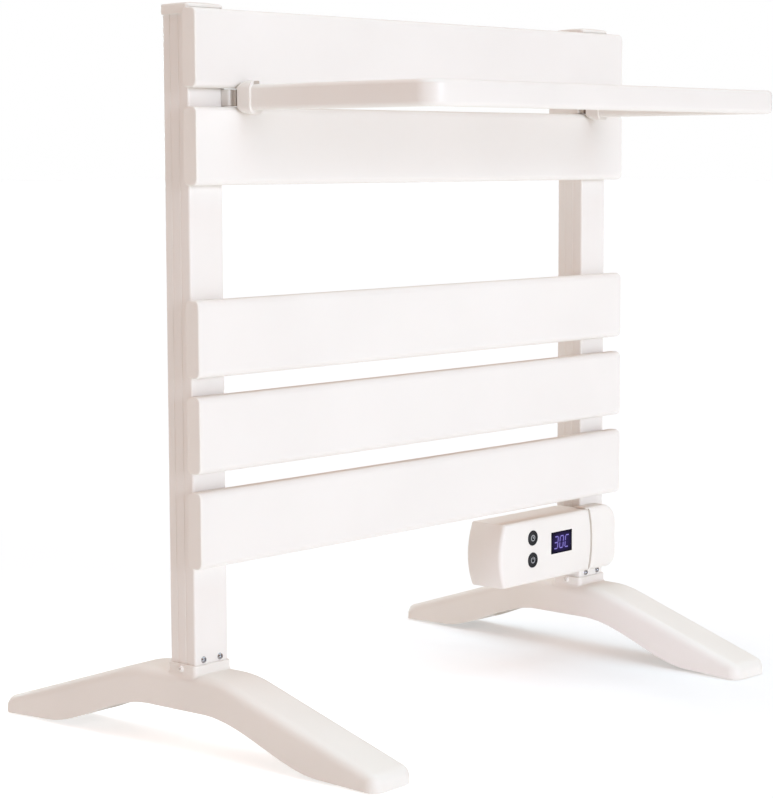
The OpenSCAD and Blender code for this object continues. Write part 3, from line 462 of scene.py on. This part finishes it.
def foot_shell():
    """Rings along the foot: up the outer wall, over the top and down, then up the inner wall to the roof."""
    s, hollow = (row[:, None] for row in foot_stations())
    a = np.abs(s)
    edge_share, inner_share, lip = 0.6, 0.2, 0.4 * MM
    half_w = foot_w / 2 - round_off(a, toe_r)
    low = foot_under(a)
    top = foot_top(a) - round_off(a, toe_top_r)
    r = np.minimum(long_edge_r, edge_share * (top - low))
    turn = np.radians(np.linspace(0, 90, 11))
    right_x, right_z = half_w - r + r * np.cos(turn), top - r + r * np.sin(turn)
    in_x = np.maximum(half_w - foot_wall, inner_share * half_w)
    roof_z = low + hollow * (foot_top(a) - foot_roof - low)
    x = np.hstack([half_w - lip, half_w, right_x, -right_x[:, ::-1], -half_w, lip - half_w,
                   -in_x, -in_x, in_x, in_x])
    z = np.hstack([low, low + lip, right_z, right_z[:, ::-1], low + lip, low,
                   low, roof_z, roof_z, low])
    y = np.broadcast_to(s + foot_shift, x.shape)
    splayed_x = x * np.cos(splay) + y * np.sin(splay)
    splayed_y = y * np.cos(splay) - x * np.sin(splay)
    return skin(np.stack([splayed_x + upright_x, splayed_y + upright_y, z], axis=-1))


def collar():
    """A wall round the upright: straight up, rounded over on top, with a fillet that lands on the crown."""
    rise, top_r, fillet, above, gap, sink = np.array([7.5, 0.9, 2.2, 0.5, 0.1, 0.05]) * MM
    turn = np.radians(np.linspace(0, 90, 7))
    over_out, over_up = collar_wall - top_r + top_r * np.sin(turn), rise - top_r + top_r * np.cos(turn)
    land_out, land_up = collar_wall + fillet - fillet * np.cos(turn), fillet - fillet * np.sin(turn)
    out = np.concatenate([[gap], over_out, [collar_wall], land_out])
    up = np.concatenate([[rise], over_up, [fillet + above], land_up])
    landing = np.repeat([0.0, 1.0], len(turn) + 1)[:, None]
    flat = np.array([rounded_outline(upright_w + 2 * g, upright_d + 2 * g, upright_edge_r + g, 6)
                     for g in out])
    over = np.clip(np.abs(flat[..., 0]) - (foot_w / 2 - long_edge_r), 0, long_edge_r)
    drop = long_edge_r - np.sqrt(long_edge_r ** 2 - over ** 2)
    z = foot_crown + up[:, None] - drop * landing - sink
    rings = np.stack([flat[..., 0] + upright_x, flat[..., 1] + upright_y, z], axis=-1)
    return skin(rings[::-1], caps=False)


pair("arched_foot", join([foot_shell(), collar()]), white_abs, "foot", sharp=40)

# %% [markdown]
# ## The towel bar
# The bar is one flat-oval steel tube bent into a U. It is the rounded section of the tube carried along a
# path of two arms, two quarter bends and the front run, with more rings in the bends, so its long highlights
# stay unbroken.

# %% Towel bar
def towel_bar():
    """Section points move along the path's normal and along Z: p + u * normal + v * up at every point."""
    low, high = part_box("towel_bar")
    tube_t, tube_h, edge_r, bend_r = 12 * MM, 20 * MM, 4 * MM, 18 * MM
    arm_x, front_y, mid_z = high.x - tube_t / 2, low.y + tube_t / 2, (low.z + high.z) / 2
    r = bend_r - tube_t / 2
    turn = np.radians(np.linspace(0, 90, 17))
    arm_y = np.linspace(high.y, front_y + r, 12)[:-1]
    run_x = np.linspace(arm_x - r, 0, 14)[1:]
    arm = np.column_stack([np.full_like(arm_y, arm_x), arm_y, np.zeros_like(arm_y)])
    bend = np.column_stack([arm_x - r + r * np.cos(turn), front_y + r - r * np.sin(turn), turn])
    front = np.column_stack([run_x, np.full_like(run_x, front_y), np.full_like(run_x, np.pi / 2)])
    half = np.concatenate([arm, bend, front])
    other = half[-2::-1] * (-1, 1, -1) + (0, 0, np.pi)
    path = np.concatenate([half, other])
    section = rounded_outline(tube_t, tube_h, edge_r)
    out = np.column_stack([np.cos(path[:, 2]), -np.sin(path[:, 2])])
    xy = path[:, None, :2] + section[None, :, :1] * out[:, None, :]
    z = np.broadcast_to(mid_z + section[:, 1], xy.shape[:2])
    return skin(np.concatenate([xy, z[..., None]], axis=-1))


piece("folding_towel_bar", towel_bar(), white_coat, "towel_bar", ["towel_bar"])

# %% [markdown]
# ## Screws
# The screws are pan heads with a cross recess. The head is a low dome on a polar grid, and the cross is
# pressed into the same height formula: two slanting bars, deepest in the middle. Each screw is turned to its
# place by a matrix.

# %% Screw heads
cross_slant = np.radians(38)


def screw(d, head_h=2.2 * MM, shank=4 * MM):
    """A spherical cap of height head_h on a shank, less a slanting cross whose depth fades along each arm."""
    head_r = 0.92 * d
    cross_w, cross_step, cross_depth = 0.14 * head_r, 0.16 * head_r, 0.75 * head_h
    radius = head_r * np.concatenate([[1.0, 0.97, 0.9, 0.8], np.linspace(0.7, 0.06, 9)])[:, None]
    angle = np.linspace(0, 2 * np.pi, 48, endpoint=False)[None, :]
    x, y = radius * np.cos(angle), radius * np.sin(angle)
    dome_r = (head_r ** 2 + head_h ** 2) / (2 * head_h)
    dome = np.sqrt(dome_r ** 2 - radius ** 2) - dome_r + head_h
    arm_a = abs(x * np.cos(cross_slant) + y * np.sin(cross_slant))
    arm_b = abs(y * np.cos(cross_slant) - x * np.sin(cross_slant))
    near, along = np.minimum(arm_a, arm_b), np.maximum(arm_a, arm_b)
    arm = np.clip(1.6 - near / cross_w, 0, 1) * np.clip(4 - along / cross_step, 0, 1)
    z = dome - cross_depth * arm * (1 - 0.5 * along / head_r)
    base = np.array([[0.5 * d, -shank], [0.5 * d, 0], [head_r, 0]])
    base_x, base_y = base[:, :1] * np.cos(angle), base[:, :1] * np.sin(angle)
    base_z = np.broadcast_to(base[:, 1:], base_x.shape)
    return skin(np.concatenate([np.stack([base_x, base_y, base_z], axis=-1), np.stack([x, y, z], axis=-1)]))


def screws(d, places, outward):
    """The same screw at every place, its head turned towards the outward axis."""
    points, faces = screw(d)
    axes = {"-y": [[1, 0, 0], [0, 0, 1], [0, -1, 0]], "+y": [[-1, 0, 0], [0, 0, 1], [0, 1, 0]],
            "+x": [[0, 1, 0], [0, 0, 1], [1, 0, 0]], "-x": [[0, -1, 0], [0, 0, 1], [-1, 0, 0]]}
    turned_points = points @ np.array(axes[outward])
    return join([(turned_points + place, faces) for place in places])


small, large = 3 * MM, 4 * MM                     # thread diameters
front_z, side_z = 74.6 * MM, 67.25 * MM           # heights of a foot's front and side screws
front_half, rear_half = 9 * MM, 18 * MM           # half the distance between the two screws of a pair
front_seat, rear_seat = face_y + panel_t, upright_high.y
side_seat = upright_w / 2 + collar_wall
front_places = [(upright_x + s * front_half, front_seat, front_z) for s in (-1, 1)]
rear_places = [(upright_x, rear_seat, z + s * rear_half) for z in panel_mids for s in (-1, 1)]
side_screws = [screws(small, [(upright_x + side_seat, upright_y, side_z)], "+x"),
               screws(small, [(upright_x - side_seat, upright_y, side_z)], "-x")]
pair("foot_front_screws", screws(small, front_places, "-y"), zinc_steel, "foot_screws")
pair("foot_side_screws", join(side_screws), white_coat)
pair("panel_fixing_screws", screws(large, rear_places, "+y"), zinc_steel, "panel_screws")

# %% [markdown]
# ## Softened mouldings and castings
# The control box and the hinge knuckles already have the right form in the CAD model, but a CAD edge is
# perfectly sharp and a real moulding's is not. A merged copy of the node gets a small bevel, which catches a
# thin line of light along seams and holes, and smooth shading over its facets. The knuckle's copy is also cut
# off flat behind its pin, which opens a slit there; a brown-grey sleeve in it is painted shade for that slit.

# %% Softened copies
def softened(node, name, finish, edge, body="root", cut_y=None):
    """A merged copy of a CAD node, cut off flat at cut_y, with flat areas dissolved and edges bevelled."""
    work = bmesh.new()
    work.from_mesh(nodes[node].data)
    bmesh.ops.remove_doubles(work, verts=work.verts, dist=2 * weld)
    if cut_y is not None:
        whole = work.verts[:] + work.edges[:] + work.faces[:]
        bmesh.ops.bisect_plane(work, geom=whole, plane_co=(0, cut_y, 0), plane_no=(0, 1, 0), clear_outer=True)
        bmesh.ops.holes_fill(work, edges=[e for e in work.edges if e.is_boundary])
    bmesh.ops.dissolve_limit(work, angle_limit=np.radians(0.5), verts=work.verts, edges=work.edges)
    mesh = bpy.data.meshes.new(name)
    work.to_mesh(mesh)
    work.free()
    points = np.empty(3 * len(mesh.vertices), np.float32)
    mesh.vertices.foreach_get("co", points)
    made = points.reshape(-1, 3), [list(face.vertices) for face in mesh.polygons]
    bpy.data.meshes.remove(mesh)
    obj = piece(name, made, finish, body, [node], sharp=30)
    bevel = obj.modifiers.new("soft_edges", "BEVEL")
    bevel.width, bevel.segments, bevel.limit_method = edge, 2, "ANGLE"
    bevel.angle_limit, bevel.harden_normals = np.radians(40), True


seam_edge, soft_edge = 0.08 * MM, 0.5 * MM
softened("control_front_cover", "control_box_front", white_abs, seam_edge)
softened("control_rear_shell", "control_box_rear", white_abs, seam_edge)
softened("control_end_cover", "control_box_end", white_abs, seam_edge)
softened("cable_gland", "cable_entry_gland", white_abs, soft_edge)
pin_low, pin_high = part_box("right_hinge_pin")
pin_y, pin_z = (pin_low.y + pin_high.y) / 2, (pin_low.z + pin_high.z) / 2
knuckle_back = pin_y + 10.5 * MM
for side in ("left", "right"):
    knuckle, casting = f"{side}_bar_knuckle", f"{side}_knuckle_casting"
    softened(knuckle, casting, white_coat, soft_edge, "towel_bar", knuckle_back)

# %% [markdown]
# ## Hinge brackets
# Behind each knuckle a cast bracket is screwed to the upright's inner face: a plate, a neck that reaches
# forward between two panels, and a tongue that the knuckle turns on. A brown-grey sleeve sits on the tongue
# as
# painted shade: the knuckle's flat back leaves it in sight as the dark line of the hinge's slit. Holes are
# covered by screws and pin, so cushion-edged blocks make the bracket: an outline that shrinks over a quarter
# circle at both ends. The tongue's front end is a half circle.

# %% Hinge brackets
def block(outline, length, edge, steps=5):
    """Rings of an outline along its third axis; an inset of edge * (1 - sin t) rounds both ends."""
    turn = np.radians(np.linspace(0, 90, steps + 1))
    inset, rise = edge * (1 - np.sin(turn)), edge * (1 - np.cos(turn))
    inset, along = np.append(inset, inset[::-1]), np.append(rise, length - rise[::-1])
    middle = (outline.max(axis=0) + outline.min(axis=0)) / 2
    half = (outline.max(axis=0) - outline.min(axis=0)) / 2
    flat = middle + (outline - middle) * (1 - inset[:, None, None] / half)
    return np.concatenate([flat, np.broadcast_to(along[:, None, None], flat.shape[:2] + (1,))], axis=-1)


def across(outline, middle_x, width, edge):
    """A block along X about a middle: its outline's two axes become y and z."""
    return skin(block(outline, width, edge)[..., [2, 0, 1]] + (middle_x - width / 2, 0, 0))


knuckle_low, knuckle_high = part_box("right_bar_knuckle")
tongue_x, tongue_t, tongue_r = (knuckle_low.x + knuckle_high.x) / 2, 6 * MM, 6.5 * MM
neck_y = face_y + 7.3 * MM                        # the neck's front, inside the gap between two panels


def bracket_casting():
    """Plate along X, neck along Z, and a tongue along X whose outline is a half circle and two corners."""
    low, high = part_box("right_hinge_bracket")
    plate_t, plate_low, plate_r, root = 3.5 * MM, upright_low.y + 0.6 * MM, 2.5 * MM, 2 * MM
    plate_edge, neck_edge, tongue_edge = 0.6 * MM, 0.7 * MM, 0.5 * MM
    plate = rounded_outline(high.y - plate_low, high.z - low.z, plate_r)
    plate += ((high.y + plate_low) / 2, (high.z + low.z) / 2)
    neck_w, neck_d, neck_r = high.x - low.x, high.y - neck_y, 2 * MM
    neck = rounded_outline(neck_w, neck_d, neck_r) + (low.x + neck_w / 2, neck_y + neck_d / 2)
    neck = block(neck, 2 * tongue_r, neck_edge) + (0, 0, pin_z - tongue_r)
    bow = np.radians(np.linspace(90, 270, 25))
    nose = tongue_r * np.column_stack([np.cos(bow), np.sin(bow)])
    back = np.array([[neck_y - pin_y + root, -tongue_r], [neck_y - pin_y + root, tongue_r]])
    tongue = np.concatenate([nose, back]) + (pin_y, pin_z)
    return join([across(plate, high.x - plate_t / 2, plate_t, plate_edge), skin(neck),
                 across(tongue, tongue_x, tongue_t, tongue_edge)])


def tongue_shade_sleeve():
    """A rounded block a little thicker than the tongue, from behind the pin to just short of the neck; its
    brown-grey is painted shade for the hinge's slit.
    """
    start, end = pin_y + 7 * MM, pin_y + 16.8 * MM
    sleeve_t, corner_r, sleeve_edge = 0.1 * MM, 1 * MM, 0.3 * MM
    outline = rounded_outline(end - start, 2 * (tongue_r + sleeve_t), corner_r) + ((start + end) / 2, pin_z)
    return across(outline, tongue_x, tongue_t + 2 * sleeve_t, sleeve_edge)


pair("bracket_casting", bracket_casting(), white_coat, "hinge_bracket")
# painted shade: a brown-grey sleeve where the hinge's slit is only in shade
pair("tongue_shade_sleeve", tongue_shade_sleeve(), painted_shade_brown)

# %% [markdown]
# ## Buttons
# Each button is a turned form: a shallow dish for the fingertip, a rounded rim, a flange behind the cover
# and a stem that meets its switch. A profile turned about the button's axis gives all of it, and each button
# rides on its own body so that a press moves it with its sign.

# %% Buttons
def turned(profile, centre):
    """A profile of (radius, y) rows turned about the Y axis through a centre: x = r cos t, z = r sin t."""
    angle = np.linspace(0, 2 * np.pi, 64, endpoint=False)
    x, z = profile[:, :1] * np.cos(angle), profile[:, :1] * np.sin(angle)
    y = np.broadcast_to(profile[:, 1:], x.shape)
    return skin(np.stack([x, y, z], axis=-1) + centre)


def button_profile():
    """From the middle outwards: a parabolic dish, a rounded rim, the side, then the flange and the stem."""
    r, proud, rim, dish_depth = 7 * MM, 0.6 * MM, 0.5 * MM, 0.35 * MM
    flange_r, flange_front, flange_back = 8.5 * MM, 2.25 * MM, 3.25 * MM
    stem_r, stem_end = 2.33 * MM, 5.25 * MM
    share = np.linspace(0.02, 1, 12)
    dish = np.column_stack([share * (r - rim), -proud + dish_depth * (1 - share ** 2)])
    turn = np.radians(np.linspace(15, 90, 6))
    edge = np.column_stack([r - rim + rim * np.sin(turn), -proud + rim - rim * np.cos(turn)])
    behind = [[r, flange_front], [flange_r, flange_front], [flange_r, flange_back],
              [stem_r, flange_back], [stem_r, stem_end]]
    return np.concatenate([dish, edge, behind])


button_middle = {}
for name in ("mode_button", "power_button"):
    low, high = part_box(name)
    button_middle[name] = np.array([(low.x + high.x) / 2, face_y, (low.z + high.z) / 2])
    cap = turned(button_profile(), button_middle[name])
    piece(f"{name}_cap", cap, black_abs, name, [name])

# %% [markdown]
# ## Printed signs
# The signs on the buttons are pad-printed ink, a fraction of a millimetre thick: a broken ring with a bar for
# power, and a ring with two hands for the timer. A thin strip carried along each line is enough.

# %% Button signs
def strip(line, width, centre, depth=0.08 * MM):
    """A strip along (x, z) points: each is set off by half the width to both sides, and given a depth."""
    along = np.gradient(line, axis=0)
    side = np.column_stack([-along[:, 1], along[:, 0]]) / np.linalg.norm(along, axis=1)[:, None] * width / 2
    edges = [line + side, line - side]
    front = [np.column_stack([e[:, 0], np.full(len(e), -depth / 2), e[:, 1]]) for e in edges]
    back = [np.column_stack([e[:, 0], np.full(len(e), depth / 2), e[:, 1]]) for e in edges[::-1]]
    return skin(np.stack(front + back, axis=1) + centre)


def arc(radius, start, end, steps=32):
    """Points of an arc in the (x, z) plane, between two angles in degrees."""
    t = np.radians(np.linspace(start, end, steps))
    return radius * np.column_stack([np.cos(t), np.sin(t)])


ink_w, ring_r = 0.7 * MM, 2.6 * MM
sign_seat = np.array([0, -0.33 * MM, 0])          # just before the middle of the dished face
power_at = button_middle["power_button"] + sign_seat
timer_at = button_middle["mode_button"] + sign_seat
power_sign = [strip(arc(ring_r, 125, 415), ink_w, power_at),
              strip(np.array([[0, 0.6], [0, 1.8], [0, 3.0]]) * MM, ink_w, power_at)]
timer_sign = [strip(arc(ring_r, 0, 360, 48), ink_w, timer_at),
              strip(np.array([[0, 1.7], [0, 0.8], [0, 0.0]]) * MM, ink_w, timer_at),
              strip(np.array([[0, 0], [0.7, 0], [1.5, 0]]) * MM, ink_w, timer_at)]
piece("power_sign", join(power_sign), icon_ink, "power_button")
piece("timer_sign", join(timer_sign), icon_ink, "mode_button")

# %% [markdown]
# ## The number display
# The display shows a temperature with seven bars to a digit, slanted as such displays are. A picture of the
# digits would blur close up, so each bar is a small grid with pointed ends. Its middle row carries an
# attribute of 1 and its edges 0, which the display's materials turn into a soft glow. The halo is a finer
# grid over the whole window, with the same attribute falling from its middle to its edges.

# %% Display digits
window_low, window_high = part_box("display_window")
window_mid = (window_low + window_high) / 2
digit_w, digit_h, bar_w, slant, pitch = 5.2 * MM, 11 * MM, 1.25 * MM, 0.12, 8.2 * MM
bars_y, halo_y = face_y - 0.04 * MM, face_y - 0.02 * MM
bar_ends = np.array([[[0, 1], [1, 1]], [[1, 1], [1, 0.5]], [[1, 0.5], [1, 0]], [[0, 0], [1, 0]],
                     [[0, 0.5], [0, 0]], [[0, 1], [0, 0.5]], [[0, 0.5], [1, 0.5]]])
lit = {"3": "1111001", "0": "1111110", "C": "1001110"}


def set_bar(obj, values):
    """Writes the bar attribute, one value to a vertex."""
    bar = obj.data.attributes.new("bar", "FLOAT", "POINT")
    bar.data.foreach_set("value", np.ravel(values).astype(np.float32))


def bar_grid(ends, offset):
    """One bar as 3 rows by 4 columns: pointed at both ends, and slanted by moving x in proportion to z."""
    start, end = (ends - 0.5) * (digit_w, digit_h)
    length = np.linalg.norm(end - start)
    way = (end - start) / length
    side = np.array([-way[1], way[0]])
    gap, point = 0.22 * MM, bar_w / 2
    along = np.array([gap, gap + point, length - gap - point, length - gap])
    spread = np.array([0.05, 1, 1, 0.05])
    rows = np.array([-1, 0, 1])[:, None, None] * point * spread[None, :, None] * side
    flat = start + along[None, :, None] * way + rows
    x = flat[..., 0] + slant * flat[..., 1] + offset + window_mid.x
    grid = np.stack([x, np.full(x.shape, bars_y), flat[..., 1] + window_mid.z], axis=-1)
    return skin(grid, closed=False, caps=False)


def show_bars(name, finish, wanted):
    """All bars whose lit state is the wanted one, as one piece with the middle row's bar attribute at 1."""
    chosen = [bar_grid(bar_ends[k], (place - 1) * pitch)
              for place, digit in enumerate("30C") for k in range(7) if (lit[digit][k] == "1") == wanted]
    obj = piece(name, join(chosen), finish)
    set_bar(obj, np.tile(np.repeat([0.0, 1.0, 0.0], 4), len(chosen)))


show_bars("display_bars_lit", lit_bars, True)
# the unlit bars carry the faint painted glow
show_bars("display_bars_unlit", unlit_bars_painted_glow, False)


# %% Display halo
def halo_sheet(columns=25, rows=17):
    """A flat grid on the window, whose bar attribute falls from the middle as (1 - u^2) * (1 - v^2)."""
    rim = 0.6 * MM
    u, v = np.meshgrid(np.linspace(-1, 1, columns), np.linspace(-1, 1, rows))
    x = window_mid.x + u * ((window_high.x - window_low.x) / 2 - rim)
    z = window_mid.z + v * ((window_high.z - window_low.z) / 2 - rim)
    made = skin(np.stack([x, np.full(x.shape, halo_y), z], axis=-1), closed=False, caps=False)
    obj = piece("display_halo", made, led_halo)
    set_bar(obj, (1 - u ** 2) * (1 - v ** 2))


halo_sheet()

# %% [markdown]
# ## Floor
# The rail stands on a white studio table that is lit a little from below, so shadows on it stay pale. Round
# the near foot a painted light makes the glow stronger, so the shadow there all but fades out, and beside the
# far foot a painted shadow makes it weaker. The Light Path node shows these differences to the camera alone,
# so they put no light on the rail.

# %% Floor
reach = 40.0                                      # metres to each side
# painted light lifts the floor round the near foot, and a painted shadow darkens it beside the far foot
even_glow, near_painted_light, far_painted_shadow = 0.4, 0.24, -0.08  # a change is full inside its core, none past its rim
near_foot, near_core, near_rim = (-0.27, 0.0, 0.0), 0.2, 0.45
far_foot, far_core, far_rim = (0.2, -0.05, 0.0), 0.06, 0.26
corners = [(-reach, -reach, 0), (reach, -reach, 0), (reach, reach, 0), (-reach, reach, 0)]
floor_mesh = bpy.data.meshes.new("studio_floor")
floor_mesh.from_pydata(corners, [], [[0, 1, 2, 3]])
floor = bpy.data.objects.new("studio_floor", floor_mesh)
bpy.context.scene.collection.objects.link(floor)
white, black = linear("#FFFFFF"), linear("#000000")
table_top, tree, shader = start_material("matt_white_table", Roughness=0.9, Specular_IOR_Level=0.1,
                                         Emission_Color=white)
place = add(tree, "TexCoord").outputs["Object"]
near = add(tree, "VectorMath", {0: place, 1: near_foot}, operation="DISTANCE").outputs["Value"]
painted_light_lift = add(tree, "MapRange", {"Value": near, "From Min": near_core, "From Max": near_rim,
                              "To Min": near_painted_light, "To Max": 0.0}).outputs["Result"]
far = add(tree, "VectorMath", {0: place, 1: far_foot}, operation="DISTANCE").outputs["Value"]
drop = add(tree, "MapRange", {"Value": far, "From Min": far_core, "From Max": far_rim,
                              "To Min": far_painted_shadow, "To Max": 0.0}).outputs["Result"]
# painted light round the near foot plus painted shadow beside the far foot, for camera rays only
painted_light_and_shadow = add(tree, "Math", {0: painted_light_lift, 1: drop}, operation="ADD").outputs["Value"]
seen = add(tree, "LightPath").outputs["Is Camera Ray"]
glow = add(tree, "Math", {0: painted_light_and_shadow, 1: seen, 2: even_glow}, operation="MULTIPLY_ADD")
tree.links.new(glow.outputs["Value"], shader.inputs["Emission Strength"])
fibre = add(tree, "TexNoise", {"Vector": place, "Scale": per_metre(40), "Detail": 3.0}).outputs["Fac"]
tone = add(tree, "ValToRGB", {"Fac": fibre}, stops=[(0.0, "#CCCBCB"), (1.0, "#D1D0D0")])
tree.links.new(tone.outputs["Color"], shader.inputs["Base Color"])
floor_mesh.materials.append(table_top)
print("floor", reach * 2, "m across")

# %% [markdown]
# ## The light of the room
# A studio's walls throw light back. Here that light depends on where it comes from: it is warm at the sides
# and the back and more neutral in front, so that recesses which face the front stay white, and it fades out
# towards the floor. A picture of a room would do the same, but two colours mixed by direction are easier to
# match to a photograph. The camera itself sees plain white.

# %% Room light
side_wall, front_wall = (1.29, 0.77, 0.59, 1.0), (0.66, 0.53, 0.43, 1.0)      # linear, as light may pass 1
world = bpy.data.worlds.new("studio_room")
bpy.context.scene.world = world
world.use_nodes = True
tree = world.node_tree
way = add(tree, "SeparateXYZ", {"Vector": add(tree, "TexCoord").outputs["Generated"]})
front = add(tree, "MapRange", {"Value": way.outputs["Y"], "From Min": 0.0, "From Max": -1.0})
front_share = front.outputs["Result"]
wall = add(tree, "MixRGB", {"Fac": front_share, "Color1": side_wall, "Color2": front_wall}).outputs["Color"]
room = add(tree, "MixRGB", {"Fac": way.outputs["Z"], "Color1": black, "Color2": wall}).outputs["Color"]
seen = add(tree, "LightPath").outputs["Is Camera Ray"]
shown = add(tree, "MixRGB", {"Fac": seen, "Color1": room, "Color2": white})
tree.links.new(shown.outputs["Color"], tree.nodes["Background"].inputs["Color"])
print("room light", side_wall[:3], "at the sides,", front_wall[:3], "in front")

# %% [markdown]
# ## Lamps
# A wide soft light stands in front, almost level with the rail, and reaches into the gaps between the
# panels. A second one hangs overhead, and a third fills the back. All three are far away, so they are suns,
# whose angle sets how soft their shadows are. Faces that look to the left get almost none of them and stay in
# the room's half-shade. A small spot just over the floor lifts the inner side of the far foot.

# %% Lamps
def hang(lamp, towards, place=(0, 0, 0)):
    """A lamp at a place, turned so that its local Z points towards where the light comes from."""
    obj = bpy.data.objects.new(lamp.name, lamp)
    bpy.context.scene.collection.objects.link(obj)
    back = np.array(towards) / np.linalg.norm(towards)
    right = np.cross([0, 0, 1], back)
    right /= np.linalg.norm(right)
    pose = np.eye(4)
    pose[:3] = np.column_stack([right, np.cross(back, right), back, place])
    obj.matrix_world = Matrix(pose.tolist())
    obj.visible_camera = False
    print(lamp.name, "from", np.round(towards, 2), "with", round(lamp.energy, 2))


def far_light(name, towards, energy, spread, color):
    """A far lamp as wide as the spread in degrees."""
    lamp = bpy.data.lights.new(name, "SUN")
    lamp.energy, lamp.angle, lamp.color = energy, np.radians(spread), color
    hang(lamp, towards)


far_light("front_softbox", (-0.1, -0.97, 0.12), 2.06, 24, (0.75, 0.85, 1.0))
far_light("overhead_softbox", (0.08, 0.0, 1.0), 1.74, 60, (0.26, 0.78, 1.0))
far_light("rear_softbox", (0.3, 0.95, 0.02), 1.65, 16, (0.64, 0.91, 1.0))
spot = bpy.data.lights.new("low_spot", "SPOT")
spot.energy, spot.color, spot.shadow_soft_size = 1.45, (0.69, 0.73, 1.0), 0.04
spot.spot_size, spot.spot_blend = np.radians(50), 1.0
spot_place, spot_aim = np.array([-0.19, -0.06, 0.05]), np.array([0.226, -0.12, 0.03])
hang(spot, spot_place - spot_aim, spot_place)
bpy.context.scene.view_settings.view_transform = "Standard"

# %% [markdown]
# ## Camera
# The photograph was taken from the front left, a little above the middle of the rail, with a long lens. The
# camera's three angles were worked out from the panels' edges, which run along known directions, and its
# distance from the panels' section, which is taken as the common one of about 60 by 15 mm.

# %% Camera
heading, tilt, roll = np.radians([48.31, -6.06, -0.20])      # clockwise from +Y, upwards, about the view
stand = np.array([-1.48165, face_y - 1.26768, 0.46880])
camera = bpy.data.cameras.new("photo_camera")
camera.sensor_fit, camera.sensor_height, camera.lens = "VERTICAL", 36.0, 102.105
camera.shift_x, camera.shift_y = -0.0011, 0.0011
camera.clip_end = 200
viewer = bpy.data.objects.new("photo_camera", camera)
bpy.context.scene.collection.objects.link(viewer)
ahead = np.array([np.sin(heading) * np.cos(tilt), np.cos(heading) * np.cos(tilt), np.sin(tilt)])
level = np.array([np.cos(heading), -np.sin(heading), 0.0])
right = level * np.cos(roll) + np.cross(level, ahead) * np.sin(roll)
pose = np.eye(4)
pose[:3] = np.column_stack([right, np.cross(right, ahead), -ahead, stand])
viewer.matrix_world = Matrix(pose.tolist())
bpy.context.scene.camera = viewer
print("camera at", np.round(stand, 3))
